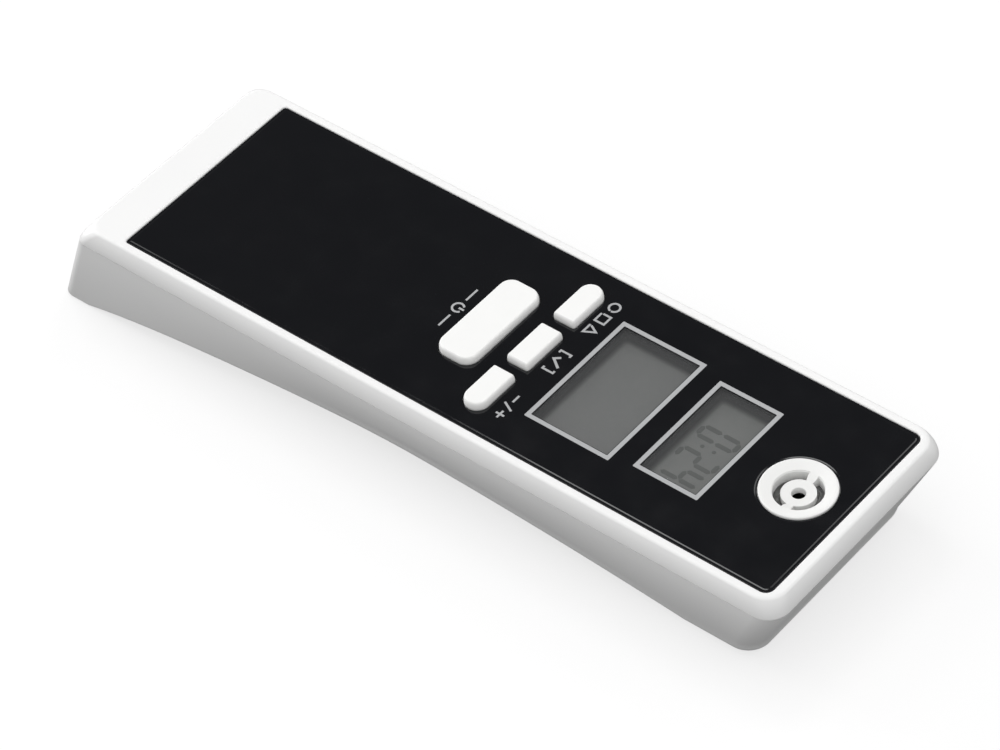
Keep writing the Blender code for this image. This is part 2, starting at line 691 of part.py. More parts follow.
def make_cells():
    """Two AAA cells lie head to tail, each pushed by a spring at its flat end."""
    body = CELL_LENGTH - 1.0
    profile = [(0.0, CELL_LENGTH), (1.6, CELL_LENGTH), (1.9, CELL_LENGTH - 0.3), (1.9, body),
               (4.9, body), (CELL_RADIUS, body - 0.35), (CELL_RADIUS, 0.35), (4.9, 0.0), (0.0, 0.0)]
    heel_stop = BAY_X[0] + 0.4
    front_stop = BAY_X[1] - 0.5
    turned("cell_left", profile, world(front_stop - CELL_LENGTH, CELL_Y, CELL_Z), "cell_wrap",
           lying=1)
    turned("cell_right", profile, world(heel_stop + CELL_LENGTH, -CELL_Y, CELL_Z), "cell_wrap",
           lying=-1)

    z = (6.2, 14.4)
    box_piece("heel_contact", (BAY_X[0] - 0.3, BAY_X[0] + 0.05), (-10.5, 10.5), z, "metal_bright")
    box_piece("positive_contact", (BAY_X[1] - 0.1, BAY_X[1] + 0.25), (1.5, 10.0), z,
              "metal_bright")
    box_piece("negative_contact", (BAY_X[1] - 0.1, BAY_X[1] + 0.25), (-10.0, -1.5), z,
              "metal_bright")
    make_spring("heel_spring", BAY_X[0] + 0.35, front_stop - CELL_LENGTH - 0.3, CELL_Y)
    make_spring("front_spring", BAY_X[1] - 0.4, heel_stop + CELL_LENGTH + 0.3, -CELL_Y)


def make_spring(name, base, tip, y, turns=3, steps=14, gauge=0.25):
    """A cone spring lying along x, wide at its base."""
    points = []
    total = turns * steps
    reach = (tip - base) - math.copysign(2 * gauge, tip - base)
    for i in range(total + 1):
        share = i / total
        radius = 3.6 - 1.4 * share
        turn = math.tau * i / steps
        x = base + math.copysign(gauge, tip - base) + reach * share
        points.append(world(x, y + radius * math.cos(turn), CELL_Z + radius * math.sin(turn)))
    wire(name, points, gauge, "metal_bright")


def make_wires():
    for name, y in (("red_wire", 5.5), ("black_wire", -5.5)):
        points = []
        steps = 12
        for i in range(steps + 1):
            share = i / steps
            x = 44.0 + 8.0 * smooth_step(share)
            z = 15.1 - (15.1 - BOARD_TOP - 0.3) * share ** 2
            points.append(world(x, y, z))
        wire(name, points, 0.45, "wire_red" if y > 0 else "wire_black")


def make_screws():
    for number, (x, y, seat) in enumerate(CASE_SCREWS, 1):
        top = seat + 7.4
        head = seat - 0.1
        profile = [(0.0, top), (0.6, top), (CASE_SHANK_RADIUS, top - 0.6),
                   (CASE_SHANK_RADIUS, head), (CASE_HEAD_RADIUS, head),
                   (CASE_HEAD_RADIUS, head - 0.7), (1.4, head - 1.2), (0.0, head - 1.2)]
        turned("case_screw_%d" % number, profile, world(x, y, 0.0), "metal_bright", steps=20)
    for number, (x, y) in enumerate(BOARD_SCREWS, 1):
        head = BOARD_TOP - BOARD_THICKNESS - 0.1
        top = head + 5.0
        profile = [(0.0, top), (0.4, top), (BOARD_SHANK_RADIUS, top - 0.4),
                   (BOARD_SHANK_RADIUS, head), (BOARD_HEAD_RADIUS, head),
                   (BOARD_HEAD_RADIUS, head - 0.6), (1.2, head - 1.0), (0.0, head - 1.0)]
        turned("board_screw_%d" % number, profile, world(x, y, 0.0), "metal_bright", steps=20)


clear_scene()
PARTS = collection("breath_tester")
CUTTERS = collection("cutters")
make_top_shell()
make_battery_door(make_bottom_shell())
make_front_panel()
make_display("main", MAIN_WINDOW)
make_display("clock", CLOCK_WINDOW)
for key_name, key_sizes in KEYS.items():
    make_key(key_name, key_sizes)
make_inlet()
make_board()
make_cells()
make_wires()
make_screws()
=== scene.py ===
"""Looks of the hand-held breath-alcohol tester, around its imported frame.

Shape functions work in millimetres: x runs from the heel edge of the front panel towards the
breath inlet, y across the body and z up from the floor.  at() turns them into frame metres.
"""
import math

import bmesh
import bpy
from mathutils import Matrix, Vector


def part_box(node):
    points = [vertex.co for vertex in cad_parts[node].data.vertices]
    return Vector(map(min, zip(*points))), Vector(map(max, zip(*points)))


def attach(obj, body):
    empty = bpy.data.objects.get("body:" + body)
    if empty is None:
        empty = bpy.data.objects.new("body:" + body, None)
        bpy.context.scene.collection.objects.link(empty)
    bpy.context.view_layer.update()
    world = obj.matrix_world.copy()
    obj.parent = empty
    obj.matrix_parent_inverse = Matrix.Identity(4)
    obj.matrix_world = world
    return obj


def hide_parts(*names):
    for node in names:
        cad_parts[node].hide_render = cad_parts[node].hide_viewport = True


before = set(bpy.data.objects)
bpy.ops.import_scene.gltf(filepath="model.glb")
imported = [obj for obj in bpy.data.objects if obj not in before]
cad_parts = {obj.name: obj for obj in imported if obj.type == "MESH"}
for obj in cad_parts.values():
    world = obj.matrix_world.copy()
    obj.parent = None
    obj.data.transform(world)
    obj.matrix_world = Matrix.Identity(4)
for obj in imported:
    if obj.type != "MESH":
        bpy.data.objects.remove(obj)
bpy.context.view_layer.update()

MM = 0.001
TINY = 1e-6
PANEL_LOW, PANEL_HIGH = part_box("front_panel")


def at(x, y, z):
    """A point given in millimetres, in the frame."""
    return Vector((PANEL_LOW.x + x * MM, y * MM, z * MM))


def span(node):
    """A node's extent along x, y and z, in millimetres."""
    low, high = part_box(node)
    low, high = ((v - Vector((PANEL_LOW.x, 0.0, 0.0))) / MM for v in (low, high))
    return tuple(zip(low, high))


def middle(pair):
    return (pair[0] + pair[1]) / 2


def half_of(pair):
    return (pair[1] - pair[0]) / 2


# --- Sizes read from the frame, and the form rules of the case

HEEL_SHORTENING = 0.3
HEEL_X = span("bottom_shell")[0][0] + HEEL_SHORTENING
FRONT_X = span("top_shell")[0][1]
HALF_WIDTH = span("top_shell")[1][1]
TOP = PANEL_HIGH.z / MM
PANEL_LENGTH = (PANEL_HIGH.x - PANEL_LOW.x) / MM
PANEL_HALF_WIDTH = PANEL_HIGH.y / MM
PANEL_THICKNESS = (PANEL_HIGH.z - PANEL_LOW.z) / MM
PANEL_HEEL_CORNER = 0.5
PANEL_FRONT_CORNER = 1.4
SHARPEST_PANEL_CORNER = 0.05
PANEL_GAP = 0.1

# The rim has a tight edge, turned through RIM_TURN degrees, and then a long easy curve that leans
# RIM_LEAN degrees from level where it meets the parting line.
RIM_RADIUS = 0.6
RIM_TURN = 60.0
RIM_LEAN = 85.0
RIM_RISE = 0.15
PARTING_DEPTH = 3.0
SEAM = 0.08
WALL = 1.6
CEILING = 16.0

# The underside is an arch between two feet, flatter towards the heel.
ARCH_X = 42.0
ARCH_DEPTH = 14.8
HEEL_FOOT_X = -9.5
FRONT_FOOT_X = 110.0
HEEL_ARCH_POWER = 4
FRONT_ARCH_POWER = 2.1

# The side walls tuck in from the heel to NARROW_X.
NARROW_X = 60.0
HEEL_HALF_WIDTH = 21.4
BOTTOM_HALF_WIDTH = 19.2
HEEL_EDGE_RADIUS = 0.6
BOTTOM_RADIUS = 3.0
WALL_CURVE = 1.6
HEEL_TOP_X = -8.3
FRONT_BOTTOM_X = 123.6
HEEL_CORNER = 2.0
FRONT_CORNER = 3.8
SMALLEST_CORNER = 0.4
SHORTEST_HEEL_SIDE = 0.5

CORNER_STEPS = 12
HEEL_STEPS = 5
LENGTH_STEPS = 60
FRONT_STEPS = 8

OVERSHOOT = 1.0     # how far a cutter runs past the surface that it opens


def smooth_step(value):
    value = min(1.0, max(0.0, value))
    return value * value * (3 - 2 * value)


def under_depth(x):
    """How far the underside lies below the rim, at x."""
    rise = TOP - ARCH_DEPTH
    if x < ARCH_X:
        share = min(1.0, (ARCH_X - x) / (ARCH_X - HEEL_FOOT_X))
        return ARCH_DEPTH + rise * share ** HEEL_ARCH_POWER
    share = min(1.0, (x - ARCH_X) / (FRONT_FOOT_X - ARCH_X))
    return ARCH_DEPTH + rise * share ** FRONT_ARCH_POWER


def narrowing(x):
    return smooth_step((x - HEEL_FOOT_X) / (NARROW_X - HEEL_FOOT_X))


def edge_radius(x):
    return HEEL_EDGE_RADIUS + (BOTTOM_RADIUS - HEEL_EDGE_RADIUS) * narrowing(x)


def wall_half_width(x, down):
    """Half-width of the side wall, where down runs from 0 at the parting line to 1 at the foot."""
    foot = HEEL_HALF_WIDTH + (BOTTOM_HALF_WIDTH - HEEL_HALF_WIDTH) * narrowing(x)
    return HALF_WIDTH + (foot - HALF_WIDTH) * down ** WALL_CURVE


def heel_x(depth):
    return HEEL_TOP_X + (HEEL_X - HEEL_TOP_X) * min(1.0, depth / (TOP - HEEL_EDGE_RADIUS))


def front_x(depth):
    below = max(0.0, depth - PARTING_DEPTH) / (TOP - PARTING_DEPTH)
    return FRONT_X + (FRONT_BOTTOM_X - FRONT_X) * below


# --- Mesh helpers


def quarter_turns(steps):
    return [math.radians(90) * i / steps for i in range(steps + 1)]


def rounded(corners, steps):
    """An outline round four corner arcs (x, y, radius), anticlockwise from the +X +Y corner."""
    points = []
    for number, (x, y, radius) in enumerate(corners):
        for quarter in quarter_turns(steps):
            turn = math.radians(90 * number) + quarter
            points.append((x + radius * math.cos(turn), y + radius * math.sin(turn)))
    return points


def add_walls(solid, rings):
    """The faces between each ring of vertices and the next."""
    for upper, lower in zip(rings, rings[1:]):
        for i in range(len(upper)):
            j = (i + 1) % len(upper)
            solid.faces.new((upper[i], upper[j], lower[j], lower[i]))


def case_outline(x_heel, x_front, inset_of, half_width_of, shrink, ease=0.0):
    """Points (x, y) along the +Y side of one level of the case, from heel to front."""
    side = []
    heel_corner = max(SMALLEST_CORNER, HEEL_CORNER + ease - shrink)
    front_corner = max(SMALLEST_CORNER, FRONT_CORNER - shrink)
    for turn in quarter_turns(CORNER_STEPS):
        x = x_heel + heel_corner * (1 - math.cos(turn))
        side.append((x, half_width_of(x) - inset_of(x) - heel_corner * (1 - math.sin(turn))))
    start = x_heel + heel_corner
    stop = x_front - front_corner
    heel_foot = max(HEEL_FOOT_X, start + SHORTEST_HEEL_SIDE)
    for low, high, steps in ((start, heel_foot, HEEL_STEPS),
                             (heel_foot, FRONT_FOOT_X, LENGTH_STEPS),
                             (FRONT_FOOT_X, stop, FRONT_STEPS)):
        for i in range(steps):
            x = low + (high - low) * i / steps
            if x > start:
                side.append((x, half_width_of(x) - inset_of(x)))
    for turn in quarter_turns(CORNER_STEPS):
        x = stop + front_corner * math.sin(turn)
        side.append((x, half_width_of(x) - inset_of(x) - front_corner * (1 - math.cos(turn))))
    return side


def loft(levels):
    """A solid that closes levels of (x, y, depth) along the +Y side, and their mirror images."""
    solid = bmesh.new()
    rings = []
    for level in levels:
        far = [solid.verts.new(at(x, y, TOP - depth)) for x, y, depth in level]
        near = [solid.verts.new(at(x, -y, TOP - depth)) for x, y, depth in level]
        rings.append(far + near[::-1])
    add_walls(solid, rings)
    for ring in (rings[0], rings[-1]):
        for i in range(len(ring) // 2 - 1):
            solid.faces.new((ring[i], ring[i + 1], ring[-2 - i], ring[-1 - i]))
    return solid


def rim_profile(edge_steps=8, slope_steps=14):
    """Pairs (inset, depth) down the rim: a tight edge, then a long easy curve to the parting."""
    turn, lean = math.radians(RIM_TURN), math.radians(RIM_LEAN)
    edge_depth = RIM_RADIUS * (1 - math.cos(turn))
    slope_depth = PARTING_DEPTH - SEAM / 2 + RIM_RISE - edge_depth
    slope_radius = slope_depth / (math.cos(turn) - math.cos(lean))
    edge_inset = slope_radius * (math.sin(lean) - math.sin(turn))
    pairs = []
    for i in range(edge_steps):
        angle = turn * i / edge_steps
        inset = edge_inset + RIM_RADIUS * (math.sin(turn) - math.sin(angle))
        pairs.append((inset, RIM_RADIUS * (1 - math.cos(angle)) - RIM_RISE))
    for i in range(slope_steps + 1):
        angle = turn + (lean - turn) * i / slope_steps
        inset = slope_radius * (math.sin(lean) - math.sin(angle))
        drop = edge_depth + slope_radius * (math.cos(turn) - math.cos(angle))
        pairs.append((inset, drop - RIM_RISE))
    return pairs


def upper_level(depth, rim_inset, shrink):
    """A level of the upper case, drawn in by the rim's inset and by a wall's thickness."""
    side = case_outline(heel_x(depth) + rim_inset + shrink,
                        front_x(depth) - rim_inset - shrink,
                        lambda x: rim_inset + shrink, lambda x: HALF_WIDTH,
                        shrink, ease=rim_inset)
    return [(x, y, depth) for x, y in side]


def lower_level(down, turn, shrink):
    """A level of the lower case: down the wall from the parting line, then round its edge."""
    edge = math.radians(turn)
    start = PARTING_DEPTH + SEAM / 2

    def depth_at(x):
        foot = under_depth(x) - shrink - edge_radius(x) * (1 - math.sin(edge))
        return start + (foot - start) * down

    def inset_at(x):
        return edge_radius(x) * (1 - math.cos(edge)) + shrink

    heel_depth = PARTING_DEPTH + (TOP - HEEL_EDGE_RADIUS - PARTING_DEPTH) * down
    front_depth = PARTING_DEPTH + (TOP - PARTING_DEPTH) * down
    side = case_outline(heel_x(heel_depth) + inset_at(HEEL_X),
                        front_x(front_depth) - inset_at(FRONT_X),
                        inset_at, lambda x: wall_half_width(x, down), shrink)
    return [(x, y, depth_at(x)) for x, y in side]


def lower_levels(shrink, wall_steps=12, edge_steps=8):
    levels = [lower_level(i / wall_steps, 0, shrink) for i in range(wall_steps + 1)]
    for i in range(1, edge_steps + 1):
        levels.append(lower_level(1.0, 90 * i / edge_steps, shrink))
    return levels


def add_stack(solid, levels):
    """Closes levels, lists of equally many (x, y, z) points from top to bottom, into a solid."""
    rings = [[solid.verts.new(at(*point)) for point in level] for level in levels]
    add_walls(solid, rings)
    solid.faces.new(rings[0])
    solid.faces.new(rings[-1][::-1])


def add_prism(solid, line, low, high):
    """An upright solid between two heights, on an outline of (x, y) points."""
    add_stack(solid, [[(x, y, z) for x, y in line] for z in (high, low)])


def add_ring(solid, outer, inner, low, high):
    """A flat ring between two outlines of equally many (x, y) points."""
    rings = [[solid.verts.new(at(x, y, z)) for x, y in line]
             for line, z in ((outer, low), (outer, high), (inner, high), (inner, low))]
    add_walls(solid, rings + rings[:1])


def box_outline(x, y, corner, steps=6):
    """A rounded rectangle between pairs of x and y."""
    low_x, high_x, low_y, high_y = x[0] + corner, x[1] - corner, y[0] + corner, y[1] - corner
    return rounded([(high_x, high_y, corner), (low_x, high_y, corner),
                    (low_x, low_y, corner), (high_x, low_y, corner)], steps)


def panel_outline(grow, steps=8):
    """The front panel's outline: tight corners at the heel, rounder ones by the inlet."""
    corners = []
    for end, side, corner in ((PANEL_LENGTH, 1, PANEL_FRONT_CORNER), (0.0, 1, PANEL_HEEL_CORNER),
                              (0.0, -1, PANEL_HEEL_CORNER),
                              (PANEL_LENGTH, -1, PANEL_FRONT_CORNER)):
        inward = 1 if end == 0.0 else -1
        radius = max(SHARPEST_PANEL_CORNER, corner + grow)
        corners.append((end + inward * (radius - grow),
                        side * (PANEL_HALF_WIDTH - radius + grow), radius))
    return rounded(corners, steps)


def circle(x, y, radius, steps=48):
    turns = [math.tau * i / steps for i in range(steps)]
    return [(x + radius * math.cos(turn), y + radius * math.sin(turn)) for turn in turns]


def add_upright(solid, outline_at, pairs):
    """An upright solid: outline_at(grow) gives its (x, y) points, for pairs (grow, z) down it."""
    add_stack(solid, [[(x, y, z) for x, y in outline_at(grow)] for grow, z in pairs])


def raised(low, high, edge, steps=4, foot_edge=0.0, fall=None):
    """Pairs (grow, z) down a solid with its edges rounded over a width and a fall."""
    fall = fall or edge
    pairs = [(-edge * (1 - math.sin(turn)), high - fall * (1 - math.cos(turn)))
             for turn in quarter_turns(steps)]
    if foot_edge:
        pairs.append((0.0, low + foot_edge))
    return pairs + [(-foot_edge, low)]


def opening(low, high, surface, flare, steps=4):
    """Pairs (grow, z) down a cutter that leaves a rounded rim where it breaks the surface."""
    pairs = [(flare * (1 - math.sin(turn)), surface - flare * (1 - math.cos(turn)))
             for turn in quarter_turns(steps)]
    return [(flare, high)] + pairs + [(0.0, low)]


def lathe(place, profile, steps, axis="z"):
    """A turned solid: (radius, height) points from the axis round the outside to the axis."""
    turn_to = {"z": Matrix.Identity(3), "x": Matrix.Rotation(math.radians(90), 3, "Y"),
               "-x": Matrix.Rotation(math.radians(-90), 3, "Y")}[axis]
    solid = bmesh.new()
    rings = []
    for radius, height in profile:
        if radius < TINY:
            rings.append([solid.verts.new(place + turn_to @ Vector((0, 0, height)) * MM)])
            continue
        ring = []
        for i in range(steps):
            angle = math.tau * i / steps
            point = Vector((radius * math.cos(angle), radius * math.sin(angle), height))
            ring.append(solid.verts.new(place + turn_to @ point * MM))
        rings.append(ring)
    for a, b in zip(rings, rings[1:]):
        for i in range(steps):
            j = (i + 1) % steps
            corners = []
            for vertex in (a[i % len(a)], a[j % len(a)], b[j % len(b)], b[i % len(b)]):
                if vertex not in corners:
                    corners.append(vertex)
            solid.faces.new(corners)
    return solid


def add_cylinder(solid, x, y, z, radius, steps=32):
    add_prism(solid, circle(x, y, radius, steps), *z)


JUST_OVER_TWO = 2.01     # keeps two rounded corners of one side apart


def round_profile(points, radius, steps):
    """A turned profile with its corners rounded, over at most half of each side."""
    eased = [points[0]]
    for before, corner, after in zip(points, points[1:], points[2:]):
        corner = Vector(corner)
        to_before = Vector(before) - corner
        to_after = Vector(after) - corner
        reach = min(radius, to_before.length / JUST_OVER_TWO, to_after.length / JUST_OVER_TWO)
        start = corner + to_before.normalized() * reach
        stop = corner + to_after.normalized() * reach
        for i in range(steps + 1):
            share = i / steps
            point = (start * (1 - share) ** 2 + corner * 2 * share * (1 - share)
                     + stop * share ** 2)
            eased.append(tuple(point))
    return eased + [points[-1]]


def mesh_object(name, solid):
    bmesh.ops.recalc_face_normals(solid, faces=solid.faces)
    mesh = bpy.data.meshes.new(name)
    solid.to_mesh(mesh)
    solid.free()
    made = bpy.data.objects.new(name, mesh)
    bpy.context.scene.collection.objects.link(made)
    return made


def settle(made):
    """Applies the modifiers on an object."""
    bpy.context.view_layer.update()
    evaluated = made.evaluated_get(bpy.context.evaluated_depsgraph_get())
    mesh = bpy.data.meshes.new_from_object(evaluated)
    old = made.data
    made.modifiers.clear()
    made.data = mesh
    mesh.name = made.name
    bpy.data.meshes.remove(old)


def combine(made, solid, operation="DIFFERENCE"):
    """Cuts, joins or crosses an object with the solid in a bmesh."""
    tool = mesh_object(made.name + "_tool", solid)
    step = made.modifiers.new("combine", "BOOLEAN")
    step.operation = operation
    step.solver = "EXACT"
    step.object = tool
    settle(made)
    used = tool.data
    bpy.data.objects.remove(tool)
    bpy.data.meshes.remove(used)


def finish_piece(made, look, body, nodes=(), slot=None, angle=32):
    """Smooths an object, gives it its look and lets it ride; its slot argument is not used."""
    made.data.shade_smooth()
    made.data.set_sharp_from_angle(angle=math.radians(angle))
    even = made.modifiers.new("even", "WEIGHTED_NORMAL")
    even.keep_sharp = True
    settle(made)
    made.data.materials.clear()
    made.data.materials.append(LOOKS[look])
    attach(made, body)
    if nodes:
        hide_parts(*nodes)


def make_piece(name, solid, *rest, **more):
    """A piece that is finished as its bmesh gives it."""
    finish_piece(mesh_object(name, solid), *rest, **more)


# --- Materials


PATCH_DETAIL = 4.0
GRAIN_DETAIL = 3.0
GRAIN_RANGE = (0.3, 0.7)
LOWEST_ROUGHNESS = 0.02
RELIEF_STRENGTH = 0.6
STRIPE_STEEPNESS = 6.0


def feed(tree, entry, value):
    """Links an input to a socket, or sets it to a value."""
    if isinstance(value, bpy.types.NodeSocket):
        tree.links.new(value, entry)
    else:
        entry.default_value = value


def add_node(tree, kind, **inputs):
    """A shader node, with each named input fed: from_min feeds the input From Min."""
    made = tree.nodes.new("ShaderNode" + kind)
    for name, value in inputs.items():
        feed(tree, made.inputs[name.replace("_", " ").title()], value)
    return made


def add_mix(tree, factor, first, second, blend="MIX"):
    """The output of a mix of two colours."""
    mix = tree.nodes.new("ShaderNodeMix")
    mix.data_type = "RGBA"
    mix.blend_type = blend
    for name, value in (("Factor", factor), ("A", first), ("B", second)):
        feed(tree, mix.inputs[name], value)
    return mix.outputs["Result"]


def opaque(colour):
    return (*colour, 1.0)


def finish(name, colour, other, roughness, metallic=0.0, patch=60.0, grain=3000.0,
           relief=0.0, spread=0.0, stretch=(1.0, 1.0, 1.0), specular=0.5, alpha=1.0):
    """A procedural finish: one or two tones in soft patches, uneven gloss, fine relief in mm."""
    made = bpy.data.materials.new(name)
    made.use_nodes = True
    tree = made.node_tree
    shader = tree.nodes["Principled BSDF"]
    for socket, value in (("Base Color", opaque(colour)), ("Roughness", roughness),
                          ("Metallic", metallic), ("Specular IOR Level", specular),
                          ("Alpha", alpha)):
        shader.inputs[socket].default_value = value
    place = add_node(tree, "TexCoord").outputs["Object"]
    mapped = add_node(tree, "Mapping", vector=place, scale=stretch).outputs["Vector"]
    if other:
        patches = add_node(tree, "TexNoise", vector=mapped, scale=patch, detail=PATCH_DETAIL)
        both = add_mix(tree, patches.outputs["Fac"], opaque(colour), opaque(other))
        tree.links.new(both, shader.inputs["Base Color"])
    fine = add_node(tree, "TexNoise", vector=mapped, scale=grain, detail=GRAIN_DETAIL)
    if spread:
        uneven = add_node(tree, "MapRange", value=fine.outputs["Fac"],
                          from_min=GRAIN_RANGE[0], from_max=GRAIN_RANGE[1],
                          to_min=max(LOWEST_ROUGHNESS, roughness - spread),
                          to_max=roughness + spread)
        tree.links.new(uneven.outputs["Result"], shader.inputs["Roughness"])
    if relief:
        bump = add_node(tree, "Bump", strength=RELIEF_STRENGTH, distance=relief * MM,
                        height=fine.outputs["Fac"])
        tree.links.new(bump.outputs["Normal"], shader.inputs["Normal"])
    return made


def object_place(tree):
    """The socket that gives a point's place on its object."""
    return next(node for node in tree.nodes if node.type == "TEX_COORD").outputs["Object"]


def recolour(tree, change):
    """Feeds a finish's colour from change(the socket that fed it before, if any)."""
    entry = tree.nodes["Principled BSDF"].inputs["Base Color"]
    tree.links.new(change(entry.links[0].from_socket if entry.links else None), entry)


def add_stripes(made, scale, direction, tones):
    """Lays stripes of two tones over a finish, along X, Y or Z of the object."""
    tree = made.node_tree
    wave = add_node(tree, "TexWave", vector=object_place(tree), scale=scale, distortion=0.0)
    wave.bands_direction = direction
    half = 0.5 / STRIPE_STEEPNESS
    sharper = add_node(tree, "MapRange", value=wave.outputs["Fac"], from_min=0.5 - half,
                       from_max=0.5 + half)
    recolour(tree, lambda old: add_mix(tree, sharper.outputs["Result"], *map(opaque, tones)))


def add_painted_edge_shade(made, x, y, fade, tone):
    """Paints shade into a finish: darker softly towards the edges of an opening between pairs of x
    and y in mm.
    """
    tree = made.node_tree
    split = add_node(tree, "SeparateXYZ", vector=object_place(tree))
    centre = at(middle(x), middle(y), 0.0)
    both = add_node(tree, "Math")
    both.operation = "MULTIPLY"
    sides = (("X", centre.x, half_of(x)), ("Y", centre.y, half_of(y)))
    for number, (axis, start, half) in enumerate(sides):
        away = add_node(tree, "Math")
        away.operation = "SUBTRACT"
        away.inputs[1].default_value = start
        tree.links.new(split.outputs[axis], away.inputs[0])
        distance = add_node(tree, "Math", value=away.outputs["Value"])
        distance.operation = "ABSOLUTE"
        share = add_node(tree, "MapRange", value=distance.outputs["Value"], from_min=half * MM,
                         from_max=(half - fade) * MM)
        share.interpolation_type = "SMOOTHSTEP"
        tree.links.new(share.outputs["Result"], both.inputs[number])
    recolour(tree, lambda old: add_mix(tree, both.outputs["Value"], opaque(tone), old))


def add_painted_shade_below(made, low, high, share):
    """Paints shade into a finish: darker evenly towards the floor, between two heights in mm."""
    tree = made.node_tree
    split = add_node(tree, "SeparateXYZ", vector=object_place(tree))
    fade = add_node(tree, "MapRange", value=split.outputs["Z"], from_min=low * MM,
                    from_max=high * MM, to_min=share, to_max=1.0).outputs["Result"]
    recolour(tree, lambda old: add_mix(tree, 1.0, old, fade, "MULTIPLY"))


def grey(value):
    return (value, value, value)


LOOKS = {
    "shell_white": finish("shell_plastic", (0.81, 0.81, 0.805), grey(0.785), 0.34, patch=90.0,
        grain=5200.0, relief=0.006, spread=0.06, specular=0.2),
    "key_white": finish("key_plastic", (0.82, 0.82, 0.81), (0.79, 0.79, 0.78), 0.46, patch=260.0,
        grain=7000.0, relief=0.006, spread=0.05),
    "inlet_white": finish("inlet_plastic", (0.785, 0.785, 0.775), (0.755, 0.755, 0.745), 0.5,
        patch=300.0, grain=7000.0, relief=0.006, spread=0.05, specular=0.3),
    "panel_black": finish("panel_gloss", (0.0026, 0.0029, 0.0042), (0.0040, 0.0043, 0.0056), 0.10,
        patch=45.0, grain=160.0, spread=0.04),
    "print_silver": finish("print_silver", (0.335, 0.34, 0.35), (0.41, 0.415, 0.42), 0.45,
        patch=3800.0, grain=6000.0, relief=0.004, spread=0.08),
    "window_clear": finish("window_acrylic", (0.92, 0.94, 0.95), None, 0.05, grain=300.0,
        spread=0.02, alpha=0.03),
    "lcd_grey": finish("lcd_glass", (0.103, 0.105, 0.103), (0.113, 0.115, 0.113), 0.36,
        metallic=0.5, patch=900.0, grain=9000.0, relief=0.002, spread=0.05, specular=0.3),
    "lcd_clock": finish("lcd_clock_glass", (0.104, 0.108, 0.103), (0.123, 0.127, 0.122), 0.36,
        metallic=0.5, patch=700.0, grain=9000.0, relief=0.002, spread=0.05, specular=0.3),
    "lcd_segment": finish("lcd_segment", (0.033, 0.036, 0.033), (0.044, 0.047, 0.044), 0.35,
        patch=900.0, grain=9000.0, spread=0.05, specular=0.3),
    "foam_black": finish("foam", (0.016, 0.016, 0.017), (0.010, 0.010, 0.011), 0.95, patch=2600.0,
        grain=3800.0, relief=0.05, specular=0.2),
    "holder_white": finish("holder_plastic", (0.72, 0.72, 0.70), (0.67, 0.67, 0.65), 0.5,
        patch=200.0, grain=4000.0, relief=0.01, spread=0.08),
    "rubber_grey": finish("rubber", (0.20, 0.20, 0.21), (0.15, 0.15, 0.16), 0.8, patch=400.0,
        grain=4500.0, relief=0.02, spread=0.08),
    "zebra_rubber": finish("zebra_rubber", (0.20, 0.20, 0.21), None, 0.7, grain=4500.0,
        relief=0.01, spread=0.08),
    "board_green": finish("solder_mask", (0.020, 0.170, 0.065), (0.030, 0.235, 0.095), 0.34,
        patch=500.0, grain=3000.0, relief=0.01, spread=0.08),
    "part_black": finish("moulded_black", (0.030, 0.030, 0.031), (0.045, 0.045, 0.046), 0.5,
        patch=700.0, grain=6000.0, relief=0.015, spread=0.1),
    "metal_bright": finish("nickel", (0.70, 0.70, 0.68), (0.60, 0.60, 0.58), 0.28, metallic=1.0,
        patch=500.0, grain=2500.0, relief=0.003, spread=0.1, stretch=(1.0, 1.0, 6.0)),
    "mesh_dark": finish("sensor_mesh", grey(0.10), grey(0.05), 0.5, metallic=1.0, patch=3000.0,
        grain=6000.0, relief=0.02, spread=0.1),
    "cell_wrap": finish("cell_sleeve", (0.06, 0.14, 0.33), (0.08, 0.17, 0.38), 0.30, patch=90.0,
        grain=1500.0, relief=0.004, spread=0.05),
    "wire_red": finish("wire_red", (0.50, 0.025, 0.025), (0.42, 0.02, 0.02), 0.45, patch=600.0,
        grain=5000.0, relief=0.01, spread=0.08),
    "wire_black": finish("wire_black", (0.025, 0.025, 0.026), (0.035, 0.035, 0.036), 0.45,
        patch=600.0, grain=5000.0, relief=0.01, spread=0.08),
}
ZEBRA_SCALE = 900.0
ZEBRA_TONES = (grey(0.025), grey(0.32))
# Painted shade on the case: its white darkens towards the floor, standing in for light falling off
# down the walls.
PAINTED_SHADE_HEIGHTS = (1.0, 13.0)
PAINTED_SHADE_AT_FOOT = 0.85
add_stripes(LOOKS["zebra_rubber"], ZEBRA_SCALE, "Y", ZEBRA_TONES)
# Painted shade: the case white darkens towards the floor.
add_painted_shade_below(LOOKS["shell_white"], *PAINTED_SHADE_HEIGHTS, PAINTED_SHADE_AT_FOOT)


# --- Case


CASE_SCREW_HEAD = 1.3
CASE_SCREWS = [(middle(x), middle(y), z[0] + CASE_SCREW_HEAD)
               for x, y, z in (span("case_screw_%d" % number) for number in range(1, 5))]
BOARD_SCREWS = [(middle(x), middle(y))
                for x, y, z in (span("board_screw_%d" % number) for number in (1, 2))]
BOARD_TOP = span("main_board")[2][1]
WINDOW_PLAY = 0.08
SHARPEST_HOLE_CORNER = 0.02

# The bay for the cells, with the x and the lowest z of the wall at each end of it.
BAY_X = (-5.6, 43.7)
BAY_HALF_WIDTH = 12.6
BAY_CEILING = 6.2
BAY_CORNER = 1.5
BAY_WALLS = ((45.1, 4.0), (-7.1, 1.0))
BAY_WALL_HALF = (0.5, 12.0)     # half its thickness, half its width
BAY_WALL_CORNER = 0.2
BAY_WALL_TOP = 13.4


def window_span(prefix):
    """The opening that a display's window fills, with its play."""
    x, y, z = span(prefix + "_window")
    return (x[0] - WINDOW_PLAY, x[1] + WINDOW_PLAY), (y[0] - WINDOW_PLAY, y[1] + WINDOW_PLAY)


